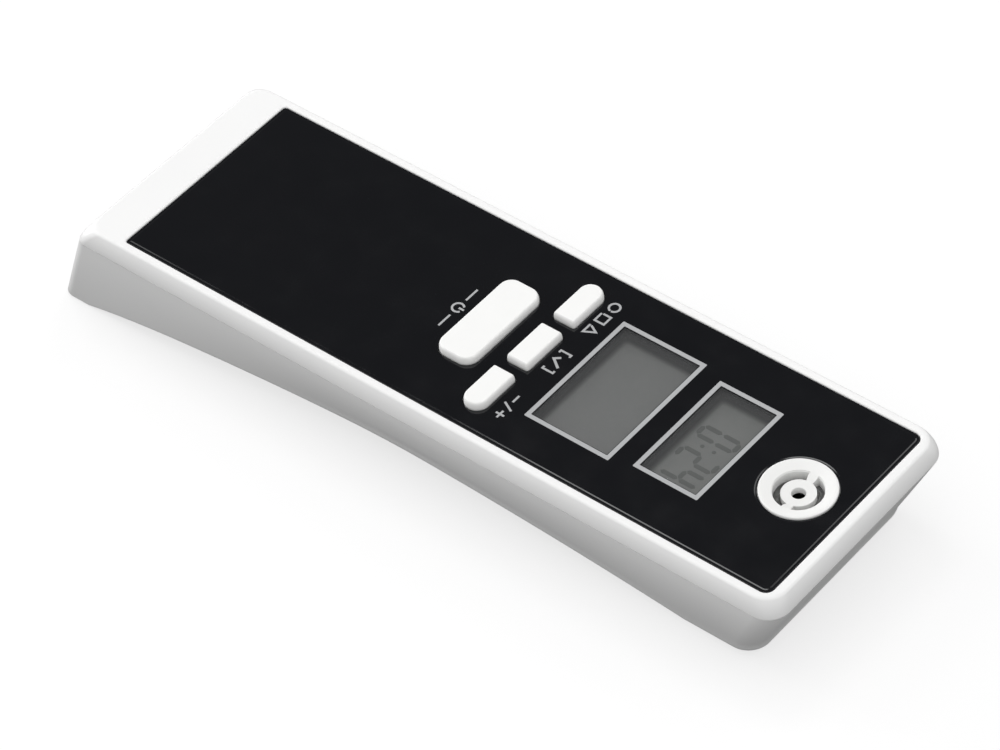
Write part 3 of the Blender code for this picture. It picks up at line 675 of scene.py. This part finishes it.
def grown(pairs, corner):
    """An outline function: a rounded box grown by its argument."""
    x, y = pairs
    return lambda grow: box_outline((x[0] - grow, x[1] + grow), (y[0] - grow, y[1] + grow),
                                    max(SHARPEST_HOLE_CORNER, corner + grow))


# Each key's corner radius, and the side of it that is a full half-round, if any.
KEYS = {"power": (2.3, 0), "mode": (0.5, 1), "set": (0.5, 0), "adjust": (0.5, -1)}
KEY_FLANGE = 0.6
KEY_EDGE = 0.42
KEY_FALL = 1.1
SHARPEST_KEY_CORNER = 0.08
HALF_ROUND_FLAT = 0.01


def key_outline(name, grow, end_steps=16):
    """A key's outline: rounded corners, or a full half-round at one end."""
    corner, round_end = KEYS[name]
    x, y, z = span(name + "_key")
    half_length = half_of(x) - KEY_FLANGE + grow
    half_width = half_of(y) - KEY_FLANGE + grow
    corners = []
    for sign_x, sign_y in ((1, 1), (-1, 1), (-1, -1), (1, -1)):
        radius = max(SHARPEST_KEY_CORNER, corner + grow)
        if round_end == sign_y:
            radius = half_length - HALF_ROUND_FLAT
        corners.append((middle(x) + sign_x * (half_length - radius),
                        middle(y) + sign_y * (half_width - radius), radius))
    return rounded(corners, end_steps)


def key_grown(name, start=0.0):
    return lambda grow: key_outline(name, start + grow)


INLET = tuple(middle(pair) for pair in span("breath_inlet")[:2])
INLET_RADIUS = half_of(span("breath_inlet")[0])
INLET_HOLE_RADIUS = 5.2

# Screw posts and bores: radius, and the distance of one end above the screw's seat or the board.
CASE_POST = (2.3, 2.2)
CASE_BORE = (1.2, 9.0)
BOARD_POST = (1.8, 0.15)
BOARD_BORE = (0.95, 5.0)
LOWER_POST = (2.8, 2.0)
LOWER_BORE = (1.3, 3.0)
WELL_RADIUS = 2.2
POST_SINK = 0.4
PANEL_BED = 0.1
RECESS_FLARE = 0.3
WINDOW_HOLE = (0.3, 0.9)     # corner, and play all round
KEY_HOLE_PLAY = 0.3


def make_top_case():
    solid = loft([upper_level(depth, inset, 0.0) for inset, depth in rim_profile()])
    case = mesh_object("top_case", solid)
    combine(case, loft([upper_level(TOP - CEILING, 0.0, WALL),
                        upper_level(PARTING_DEPTH + OVERSHOOT, 0.0, WALL)]))

    posts = bmesh.new()
    for x, y, seat in CASE_SCREWS:
        add_cylinder(posts, x, y, (seat + CASE_POST[1], CEILING + POST_SINK), CASE_POST[0])
    for x, y in BOARD_SCREWS:
        add_cylinder(posts, x, y, (BOARD_TOP + BOARD_POST[1], CEILING + POST_SINK), BOARD_POST[0])
    combine(case, posts, "UNION")

    recess = bmesh.new()
    add_upright(recess, lambda grow: panel_outline(PANEL_GAP + grow),
                opening(TOP - PANEL_THICKNESS - PANEL_BED, TOP + OVERSHOOT, TOP + RIM_RISE,
                        RECESS_FLARE))
    combine(case, recess)

    holes = bmesh.new()
    deck = (CEILING - OVERSHOOT, TOP + OVERSHOOT)
    for prefix in ("main", "clock"):
        add_prism(holes, grown(window_span(prefix), WINDOW_HOLE[0])(WINDOW_HOLE[1]), *deck)
    for name in KEYS:
        add_prism(holes, key_outline(name, KEY_HOLE_PLAY), *deck)
    add_cylinder(holes, *INLET, deck, INLET_HOLE_RADIUS, 64)
    for x, y, seat in CASE_SCREWS:
        add_cylinder(holes, x, y, (seat, seat + CASE_BORE[1]), CASE_BORE[0])
    for x, y in BOARD_SCREWS:
        add_cylinder(holes, x, y, (BOARD_TOP - OVERSHOOT, BOARD_TOP + BOARD_BORE[1]),
                     BOARD_BORE[0])
    combine(case, holes)
    finish_piece(case, "shell_white", "case", ["top_shell"])


def lower_hollow():
    levels = lower_levels(WALL, wall_steps=8, edge_steps=5)
    mouth = [(x, y, PARTING_DEPTH - OVERSHOOT) for x, y, depth in levels[0]]
    return loft([mouth] + levels)


def add_bay(solid, gap):
    """The room for the cells, from below the floor up, drawn in by a gap."""
    line = grown((BAY_X, (-BAY_HALF_WIDTH, BAY_HALF_WIDTH)), BAY_CORNER)(-gap)
    add_prism(solid, line, -OVERSHOOT, BAY_CEILING)


def make_bottom_case():
    case = mesh_object("bottom_case", loft(lower_levels(0.0)))
    combine(case, lower_hollow())

    posts = bmesh.new()
    for x, y, seat in CASE_SCREWS:
        add_cylinder(posts, x, y, (TOP - under_depth(x) + WALL / 2, seat + LOWER_POST[1]),
                     LOWER_POST[0])
    for x, low in BAY_WALLS:
        half_x, half_y = BAY_WALL_HALF
        line = box_outline((x - half_x, x + half_x), (-half_y, half_y), BAY_WALL_CORNER)
        add_prism(posts, line, low, BAY_WALL_TOP)
    combine(case, posts, "UNION")

    wells = bmesh.new()
    shanks = bmesh.new()
    for x, y, seat in CASE_SCREWS:
        add_cylinder(wells, x, y, (-OVERSHOOT, seat), WELL_RADIUS)
        add_cylinder(shanks, x, y, (seat - OVERSHOOT / 2, seat + LOWER_BORE[1]), LOWER_BORE[0])
    add_bay(wells, 0.0)
    combine(case, wells)
    combine(case, shanks)
    finish_piece(case, "shell_white", "case", ["bottom_shell"])


DOOR_GAP = 0.25
GRIP_COUNT = 5
GRIP_X = 34.6
GRIP_PITCH = 1.5
GRIP_WIDTH = 0.7
GRIP_HALF_LENGTH = 5.4
GRIP_TAPER = 0.35
GRIP_CORNER = 0.34
GRIP_DEPTH = 0.5
ARROW = ((31.8, 0.0), (29.2, 3.0), (29.2, -3.0))
ARROW_MIDDLE = 30.5
ARROW_DEPTH = 0.35


def make_door():
    door = mesh_object("door_cover", loft(lower_levels(0.0)))
    bay = bmesh.new()
    add_bay(bay, DOOR_GAP)
    combine(door, bay, "INTERSECT")
    combine(door, lower_hollow())
    grip = bmesh.new()
    for i in range(GRIP_COUNT):
        x = GRIP_X + GRIP_PITCH * i
        half = GRIP_HALF_LENGTH - GRIP_TAPER * abs(i - GRIP_COUNT // 2)
        line = box_outline((x, x + GRIP_WIDTH), (-half, half), GRIP_CORNER)
        add_prism(grip, line, 0.0, TOP - under_depth(x) + GRIP_DEPTH)
    add_prism(grip, ARROW, 0.0, TOP - under_depth(ARROW_MIDDLE) + ARROW_DEPTH)
    combine(door, grip)
    finish_piece(door, "shell_white", "door", ["battery_door"])


# --- Front panel, with its printing, windows and displays


PRINT = 0.02
PANEL_BORDER = 0.45
PANEL_STEP = (0.2, 0.032)     # width and drop
PANEL_CHAMFER = 0.08
PANEL_HOLE_FLARE = 0.02
KEY_GAP = 0.14
INLET_GAP = 0.15
INLET_BORDER = 0.16
FRAME_WIDTH = 0.74
FRAME_CORNER = 0.05
FRAME_GAP = 0.1

# Corner and edge radii of the windows and of the displays' glass, and the bevel under both.
PANE = (0.1, 0.06)
GLASS = (0.2, 0.08)
FOOT_BEVEL = 0.05
REAR_GLASS = 0.9
GLASS_SPACE = 0.05
GLASS_LEDGE = 0.5
# Painted shade on the displays' glass, darker towards the window's edges where the recess shades
# it: its width in mm and its tone.
PAINTED_GLASS_SHADE_WIDTH = 1.4
PAINTED_GLASS_SHADE_TONE = grey(0.02)


def make_panel():
    width, drop = PANEL_STEP
    solid = bmesh.new()
    steps = [(-PANEL_BORDER - width, TOP), (-PANEL_BORDER, TOP - drop),
             (-PANEL_CHAMFER, TOP - drop), (0.0, TOP - drop - PANEL_CHAMFER),
             (0.0, TOP - PANEL_THICKNESS)]
    add_upright(solid, panel_outline, steps)
    panel = mesh_object("panel_plate", solid)
    holes = bmesh.new()
    low, high = TOP - PANEL_THICKNESS - OVERSHOOT, TOP + OVERSHOOT
    lines = [grown(window_span(prefix), PANE[0]) for prefix in ("main", "clock")]
    lines += [key_grown(name, KEY_GAP) for name in KEYS]
    for line in lines:
        add_upright(holes, line, opening(low, high, TOP, PANEL_HOLE_FLARE))
    rims = [(INLET_BORDER + width, high), (INLET_BORDER + width, TOP),
            (INLET_BORDER, TOP - drop), (0.0, TOP - drop), (0.0, low)]
    add_upright(holes, lambda grow: circle(*INLET, INLET_RADIUS + INLET_GAP + grow, 96), rims)
    combine(panel, holes)
    finish_piece(panel, "panel_black", "case", ["front_panel"], angle=8)


def make_frames():
    solid = bmesh.new()
    for prefix in ("main", "clock"):
        inner = grown(window_span(prefix), FRAME_CORNER)(FRAME_GAP)
        outer = grown(window_span(prefix), FRAME_CORNER - FRAME_WIDTH)(FRAME_GAP + FRAME_WIDTH)
        add_ring(solid, outer, inner, TOP, TOP + PRINT)
    make_piece("window_frames", solid, "print_silver", "case", slot="panel_black")


def make_displays():
    for prefix, look in (("main", "lcd_grey"), ("clock", "lcd_clock")):
        x, y, z = span(prefix + "_window")
        corner, edge = PANE
        solid = bmesh.new()
        add_upright(solid, grown((x, y), corner), raised(*z, edge, 3, FOOT_BEVEL))
        make_piece(prefix + "_pane", solid, "window_clear", "case", [prefix + "_window"])

        x, y, z = span(prefix + "_lcd")
        corner, edge = GLASS
        rear_top = z[0] + REAR_GLASS
        solid = bmesh.new()
        for line, low, high in ((grown((x, y), corner), z[0], rear_top),
                                (grown(((x[0] + GLASS_LEDGE, x[1]), y), corner),
                                 rear_top + GLASS_SPACE, z[1])):
            add_upright(solid, line, raised(low, high, edge, 2, FOOT_BEVEL))
        # Painted shade round the edges of the display's glass.
        add_painted_edge_shade(LOOKS[look], *window_span(prefix), PAINTED_GLASS_SHADE_WIDTH, PAINTED_GLASS_SHADE_TONE)
        make_piece(prefix + "_lcd_glass", solid, look, "case", [prefix + "_lcd"], "lcd_grey")


SEGMENTS = {"a": (0, 1, 0), "b": (1, 0.5, 1), "c": (1, -0.5, 1), "d": (0, -1, 0),
            "e": (-1, -0.5, 1), "f": (-1, 0.5, 1), "g": (0, 0, 0)}
DIGITS = {"0": "abcdef", "2": "abged", "4": "fgbc"}
DIGIT_HEIGHT = 6.7
DIGIT_WIDTH = 2.1
STROKE = 0.8
BAR_GAPS = (0.2, 0.15)     # between upright and between level bars
READING = ((2.75, "0"), (-2.45, "2"), (-6.1, "4"))
READING_SHIFT = 0.2
COLON_Y = 0.2
COLON_RISE = 1.1
DOT_RADIUS = 0.35


def bar(length, stroke):
    """A six-sided bar along its first axis, as the strokes of digits are."""
    half, point = length / 2, stroke / 2
    return [(-half, 0.0), (-half + point, -point), (half - point, -point), (half, 0.0),
            (half - point, point), (-half + point, point)]


def shifted(points, along, up=0.0):
    return [(a + along, b + up) for a, b in points]


def reads_at(x, y, points):
    """Places points of a sign that reads towards -y, with its top towards +x."""
    return [(x + up, y - along) for along, up in points]


def make_digits():
    """The clock's reading, as thin bars on the display's glass."""
    solid = bmesh.new()
    x = middle(window_span("clock")[0]) - READING_SHIFT
    low = span("clock_lcd")[2][1]
    signs = []
    for y, digit in READING:
        for key in DIGITS[digit]:
            across, up, upright = SEGMENTS[key]
            if upright:
                shape = [(-b, a) for a, b in bar(DIGIT_HEIGHT / 2 - BAR_GAPS[0], STROKE)]
            else:
                shape = bar(DIGIT_WIDTH - BAR_GAPS[1], STROKE)
            shape = shifted(shape, across * DIGIT_WIDTH / 2, up * DIGIT_HEIGHT / 2)
            signs.append(reads_at(x, y, shape))
    for up in (-COLON_RISE, COLON_RISE):
        signs.append(reads_at(x, COLON_Y, shifted(circle(0.0, 0.0, DOT_RADIUS, 12), 0.0, up)))
    for sign in signs:
        add_prism(solid, sign, low, low + PRINT)
    make_piece("clock_digits", solid, "lcd_segment", "case", slot="lcd_grey")


SYMBOL_STROKE = 0.36
TICK_STROKE = 0.42
SHARPEST_TURN = 0.3     # how far a stroke may widen at a corner, as a cosine
SIGN_PLACES = {"power": (52.6, 0.0), "mode": (72.4, 10.9), "set": (72.4, -0.2),
               "adjust": (72.3, -11.8)}


def stroke_line(points, stroke):
    """The outline of a stroke along a line of two or more points."""
    left, right = [], []
    for i, point in enumerate(points):
        before = Vector(points[max(0, i - 1)])
        after = Vector(points[min(len(points) - 1, i + 1)])
        here = Vector(point)
        ways = [way.normalized() for way in (here - before, after - here)
                if way.length > TINY]
        way = sum(ways, Vector((0.0, 0.0))).normalized()
        stretch = stroke / 2 / max(SHARPEST_TURN, way.dot(ways[0]))
        side = Vector((-way.y, way.x)) * stretch
        left.append(tuple(here + side))
        right.append(tuple(here - side))
    return left + right[::-1]


def arc(radius, start, stop, steps=20):
    turns = [math.radians(start + (stop - start) * i / steps) for i in range(steps + 1)]
    return [(radius * math.cos(turn), radius * math.sin(turn)) for turn in turns]


def key_signs():
    """The stroke outlines of the plain sign beside each key, in (along, up) round its place."""
    square = [(-0.9, -0.9), (0.9, -0.9), (0.9, 0.9), (-0.9, 0.9), (-0.9, -0.6)]
    triangle = [(-0.95, -0.85), (0.95, -0.85), (0.0, 0.95), (-0.8, -0.55)]
    tick = [(-0.95, 0.05), (-0.25, -0.85), (1.05, 1.0)]
    lines = {
        "power": [arc(0.95, 125, 415), [(0.0, 0.15), (0.0, 1.15)],
                  [(-4.7, 0.0), (-1.9, 0.0)], [(1.9, 0.0), (4.7, 0.0)]],
        "mode": [shifted(arc(0.9, 0, 350), -2.9), square, shifted(triangle, 2.9)],
        "set": [tick, [(-1.7, -1.0), (-2.2, -1.0), (-2.2, 1.0), (-1.7, 1.0)],
                [(1.8, -1.0), (2.3, -1.0), (2.3, 1.0), (1.8, 1.0)]],
        "adjust": [[(-2.7, 0.0), (-1.1, 0.0)], [(-0.5, -1.0), (0.5, 1.0)],
                   [(1.1, 0.0), (2.7, 0.0)], [(1.9, -0.8), (1.9, -0.19)],
                   [(1.9, 0.19), (1.9, 0.8)]],
    }
    return {name: [stroke_line(line, TICK_STROKE if line is tick else SYMBOL_STROKE)
                   for line in drawn] for name, drawn in lines.items()}


def make_signs():
    solid = bmesh.new()
    for name, outlines in key_signs().items():
        for outline in outlines:
            add_prism(solid, reads_at(*SIGN_PLACES[name], outline), TOP, TOP + PRINT)
    make_piece("key_signs", solid, "print_silver", "case", slot="panel_black")


# --- Keys and breath inlet


KEY_FLANGE_THICKNESS = 0.9
KEY_FLANGE_BEVEL = 0.1
KEY_SHRINK = 0.04


def make_keys():
    for name in KEYS:
        low, high = span(name + "_key")[2]
        flange_top = low + KEY_FLANGE_THICKNESS
        solid = bmesh.new()
        cap = raised(flange_top, high, KEY_EDGE, 10, fall=KEY_FALL)
        flange = [(KEY_FLANGE - KEY_FLANGE_BEVEL, flange_top),
                  (KEY_FLANGE, flange_top - KEY_FLANGE_BEVEL), (KEY_FLANGE, low)]
        add_upright(solid, key_grown(name),
                    [(grow - KEY_SHRINK, z) for grow, z in cap] + flange)
        make_piece(name + "_cap", solid, "key_white", name + "_key_body", [name + "_key"])


SLOT_BAND = (2.7, 3.9)
SLOT_FLARE = 0.1
SLOT_SURFACE_DROP = 0.15
HUB_DROP = 1.15
HUB_THICKNESS = 1.2
HUB_BORE = 1.1
HUB_BORE_FLARE = 0.15
DISH_DROP = 0.5
LAND_WIDTH = 0.5
SHOULDER_GAP = 0.05
TUBE_RADIUS = 4.9
INLET_ROUNDING = 0.32
BRIDGES = (90, 278)     # degrees round the inlet
HALF_BRIDGE = 12.5


def sector_outline(band, start, stop):
    """The outline of part of a ring round the inlet's axis, between two angles in degrees."""
    inner, outer = (shifted(arc(radius, start, stop, 40), *INLET) for radius in band)
    return outer + inner[::-1]


def make_inlet():
    low, top = span("breath_inlet")[2]
    shoulder = TOP - PANEL_THICKNESS + SHOULDER_GAP
    hub = top - HUB_DROP
    profile = [(0.0, hub), (SLOT_BAND[0], hub), (SLOT_BAND[1], top - DISH_DROP),
               (INLET_RADIUS - LAND_WIDTH, top), (INLET_RADIUS, top),
               (INLET_RADIUS, shoulder), (TUBE_RADIUS, shoulder), (TUBE_RADIUS, low), (0.0, low)]
    solid = lathe(at(*INLET, 0.0), round_profile(profile, INLET_ROUNDING, 5), 128)
    inlet = mesh_object("inlet_ring", solid)
    bore = bmesh.new()
    add_cylinder(bore, *INLET, (low - OVERSHOOT, hub - HUB_THICKNESS), SLOT_BAND[1], 96)
    combine(inlet, bore)

    cuts = bmesh.new()
    first, second = BRIDGES
    surface = top - DISH_DROP - SLOT_SURFACE_DROP
    for start, stop in ((first + HALF_BRIDGE, second - HALF_BRIDGE),
                        (second + HALF_BRIDGE, first + 360 - HALF_BRIDGE)):
        def slot(grow, start=start, stop=stop):
            turn = math.degrees(grow / middle(SLOT_BAND))
            return sector_outline((SLOT_BAND[0] - grow, SLOT_BAND[1] + grow), start - turn,
                                  stop + turn)
        add_upright(cuts, slot, opening(low, top + OVERSHOOT, surface, SLOT_FLARE, 3))
    add_upright(cuts, lambda grow: circle(*INLET, HUB_BORE + grow),
                opening(low, top + OVERSHOOT, hub, HUB_BORE_FLARE, 3))
    combine(inlet, cuts)
    finish_piece(inlet, "inlet_white", "case", ["breath_inlet"], "key_white")


# --- Works seen when the door is off

# Each kind of screw: how many, the height of its head's rim and of its whole head.
SCREWS = {"case_screw_%d": (4, 0.7, 1.2), "board_screw_%d": (2, 0.6, 1.0)}
THREAD_PITCH = 0.55
THREAD_TIP = 0.5
THREAD_RUNOUT = 1.2
THREAD_FLANKS = (0.45, 0.9)     # crest and next root, as shares of the pitch
TIP_SHARE = 0.5                 # radii as shares of the shank's
ROOT_SHARE = 0.76
PLAIN_SHARE = 0.8
HEAD_FACE_SHARE = 0.72          # radii and widths as shares of the head's
CROSS_ARM_SHARE = 0.55
CROSS_WIDTH_SHARE = 0.2
CROSS_DEPTH = 0.7


def cross_outline(x, y, arm, half):
    """A cross round a centre, from the length of its arms and half their width."""
    corners = [(arm, half), (half, half), (half, arm), (-half, arm), (-half, half), (-arm, half),
               (-arm, -half), (-half, -half), (-half, -arm), (half, -arm), (half, -half),
               (arm, -half)]
    return [(x + along, y + across) for along, across in corners]


def make_screws():
    for name, (count, edge, head_height) in SCREWS.items():
        for number in range(1, count + 1):
            make_screw(name % number, edge, head_height)


def make_screw(node, edge, head_height):
    """A cross-head screw, head down, with a thread formed by rings."""
    x, y, z = span(node)
    centre = (middle(x), middle(y))
    head = half_of(x)
    shank = head / 2
    seat = z[0] + head_height
    profile = [(0.0, z[1]), (shank * TIP_SHARE, z[1])]
    height = z[1] - THREAD_TIP
    while height > seat + THREAD_RUNOUT:
        crest, root = (height - THREAD_PITCH * share for share in THREAD_FLANKS)
        profile += [(shank * ROOT_SHARE, height), (shank, crest), (shank * ROOT_SHARE, root)]
        height -= THREAD_PITCH
    profile += [(shank * PLAIN_SHARE, height), (shank * PLAIN_SHARE, seat), (head, seat),
                (head, seat - head_height + edge), (head * HEAD_FACE_SHARE, z[0]), (0.0, z[0])]
    screw = mesh_object(node + "_body", lathe(at(*centre, 0.0), profile, 32))
    recess = bmesh.new()
    cross = cross_outline(*centre, head * CROSS_ARM_SHARE, head * CROSS_WIDTH_SHARE / 2)
    add_prism(recess, cross, z[0] - OVERSHOOT / 2, z[0] + CROSS_DEPTH)
    combine(screw, recess)
    finish_piece(screw, "metal_bright", "case", [node])


TERMINAL_LENGTH = 1.0
STEEL_ROUNDING = 0.15
LATHE_SEAM = 1e-7


def make_cells():
    """Two steel cells, each with a printed sleeve rolled over its ends."""
    for node, side in (("cell_left", 1), ("cell_right", -1)):
        x, y, z = span(node)
        radius = half_of(z)
        length = x[1] - x[0]
        start, axis = (x[0], "x") if side > 0 else (x[1], "-x")
        place = at(start, middle(y), middle(z))
        body = length - TERMINAL_LENGTH
        steel = [(0.0, length), (1.6, length), (1.9, length - 0.35), (1.9, body),
                 (4.3, body), (4.75, body - 0.4), (4.75, 0.45), (4.3, 0.0), (3.4, 0.0),
                 (3.1, 0.2), (0.0, 0.2)]
        solid = lathe(place, round_profile(steel, STEEL_ROUNDING, 3), 72, axis)
        make_piece(node + "_can", solid, "metal_bright", "cells", [node])
        wrap = [(4.2, body + 0.03), (radius - 0.4, body + 0.03), (radius, body - 0.45),
                (radius, 0.45), (radius - 0.4, 0.03), (4.45, 0.03), (4.78, 0.5),
                (4.78, body - 0.5), (4.2, body + 0.03)]
        solid = lathe(place, wrap, 72, axis)
        bmesh.ops.remove_doubles(solid, verts=solid.verts, dist=LATHE_SEAM)
        make_piece(node + "_sleeve", solid, "cell_wrap", "cells")


CARRIED = {
    "foam_black": ["main_lcd_gasket", "clock_lcd_gasket"],
    "holder_white": ["main_lcd_holder", "clock_lcd_holder"],
    "zebra_rubber": ["main_zebra_strip", "clock_zebra_strip"],
    "rubber_grey": ["sensor_gasket"],
    "board_green": ["main_board"],
    "part_black": ["controller_chip", "buzzer"] + [name + end for name in KEYS
                                                   for end in ("_switch", "_plunger")],
    "metal_bright": ["gas_sensor", "clock_crystal", "capacitor", "heel_contact",
                     "positive_contact", "negative_contact", "heel_spring", "front_spring"],
    "mesh_dark": ["sensor_mesh"],
    "wire_red": ["red_wire"],
    "wire_black": ["black_wire"],
}


def dress_carried_nodes():
    for look, nodes in CARRIED.items():
        for node in nodes:
            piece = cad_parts[node]
            piece.data.materials.clear()
            piece.data.materials.append(LOOKS[look])


# --- Floor, light and camera


FLOOR_RADIUS = 4000.0
FLOOR_SPAN = (-10.0, -0.02)
FLOOR_TONES = (grey(0.30), grey(0.29))
FLOOR_GLOW = 0.67

# The studio's dome: light levels from straight down (0) through the horizon (0.5) to overhead.
DOME_STOPS = ((0.0, 0.19), (0.485, 0.19), (0.515, 0.90), (0.66, 0.94), (1.0, 1.07))

# A dark flag in the studio, which the glossy panel mirrors: azimuth and elevation of its middle,
# its radii in degrees from full shade to none, and the share of light left in it.
FLAG_DIRECTION = (134.0, 46.0)
FLAG_RADII = (20.0, 32.0)
FLAG_LEVEL = 0.12

# Soft boxes: azimuth and elevation in degrees, distance and size in metres, power in watts.
SOFT_BOXES = {
    "key_light": (-45.0, 80.0, 1.5, 0.9, 1.5),
    "back_light": (138.0, 65.0, 1.3, 0.45, 2.2),
    "heel_light": (182.0, 5.0, 1.5, 0.5, 12.0),
    "far_light": (98.0, 50.0, 1.5, 0.5, 1.3),
    "rear_light": (172.0, 47.0, 1.5, 0.5, 1.3),
}

AIM = at(67.1, -7.4, TOP)
CAMERA_AZIMUTH = -45.80
CAMERA_ELEVATION = 45.66
CAMERA_ROLL = -6.445
CAMERA_DISTANCE = 0.652
LENS = 155.3
SENSOR_WIDTH = 36.0


def direction(azimuth, elevation):
    azimuth, elevation = math.radians(azimuth), math.radians(elevation)
    return Vector((math.cos(elevation) * math.cos(azimuth),
                   math.cos(elevation) * math.sin(azimuth), math.sin(elevation)))


def make_floor():
    solid = bmesh.new()
    add_prism(solid, circle(0.0, 0.0, FLOOR_RADIUS, 96), *FLOOR_SPAN)
    floor = mesh_object("floor", solid)
    paint = finish("floor_paint", *FLOOR_TONES, 0.9, patch=2.0, grain=50.0, specular=0.1)
    shader = paint.node_tree.nodes["Principled BSDF"]
    shader.inputs["Emission Color"].default_value = opaque(grey(1.0))
    shader.inputs["Emission Strength"].default_value = FLOOR_GLOW
    floor.data.materials.append(paint)
    floor.visible_diffuse = False
    floor.visible_glossy = False


def make_world():
    world = bpy.data.worlds.new("studio")
    bpy.context.scene.world = world
    world.use_nodes = True
    tree = world.node_tree
    background = tree.nodes["Background"]
    place = add_node(tree, "TexCoord").outputs["Generated"]
    split = add_node(tree, "SeparateXYZ", vector=place)
    height = add_node(tree, "MapRange", value=split.outputs["Z"], from_min=-1.0)
    ramp = add_node(tree, "ValToRGB", fac=height.outputs["Result"])
    tree.links.new(ramp.outputs["Color"], background.inputs["Color"])
    stops = ramp.color_ramp.elements
    for number, (position, level) in enumerate(DOME_STOPS):
        stop = stops[number] if number < 2 else stops.new(position)
        stop.position = position
        stop.color = opaque(grey(level))

    towards = add_node(tree, "VectorMath")
    towards.operation = "DOT_PRODUCT"
    towards.inputs[1].default_value = direction(*FLAG_DIRECTION)
    tree.links.new(place, towards.inputs[0])
    full, none = (math.cos(math.radians(radius)) for radius in FLAG_RADII)
    shade = add_node(tree, "MapRange", value=towards.outputs["Value"], from_min=none,
                     from_max=full, to_min=1.0, to_max=FLAG_LEVEL)
    tree.links.new(shade.outputs["Result"], background.inputs["Strength"])


def make_lights():
    for name, (azimuth, elevation, distance, size, power) in SOFT_BOXES.items():
        light = bpy.data.lights.new(name, "AREA")
        light.shape = "DISK"
        light.size = size
        light.energy = power
        lamp = bpy.data.objects.new(name, light)
        bpy.context.scene.collection.objects.link(lamp)
        lamp.location = direction(azimuth, elevation) * distance
        lamp.rotation_euler = (-lamp.location).to_track_quat("-Z", "Y").to_euler()


def make_camera():
    back = direction(CAMERA_AZIMUTH, CAMERA_ELEVATION)
    right = direction(CAMERA_AZIMUTH + 90.0, 0.0)
    up = back.cross(right)
    level = Matrix((right, up, back)).transposed()
    turned = level @ Matrix.Rotation(math.radians(CAMERA_ROLL), 3, "Z")
    camera = bpy.data.objects.new("camera", bpy.data.cameras.new("camera"))
    camera.data.lens = LENS
    camera.data.sensor_width = SENSOR_WIDTH
    camera.matrix_world = Matrix.Translation(AIM + back * CAMERA_DISTANCE) @ turned.to_4x4()
    bpy.context.scene.collection.objects.link(camera)
    bpy.context.scene.camera = camera


for make in (make_top_case, make_bottom_case, make_door, make_panel, make_frames, make_displays,
             make_digits, make_signs, make_keys, make_inlet, make_screws, make_cells,
             dress_carried_nodes, make_floor, make_world, make_lights, make_camera):
    make()
bpy.context.scene.view_settings.view_transform = "Standard"
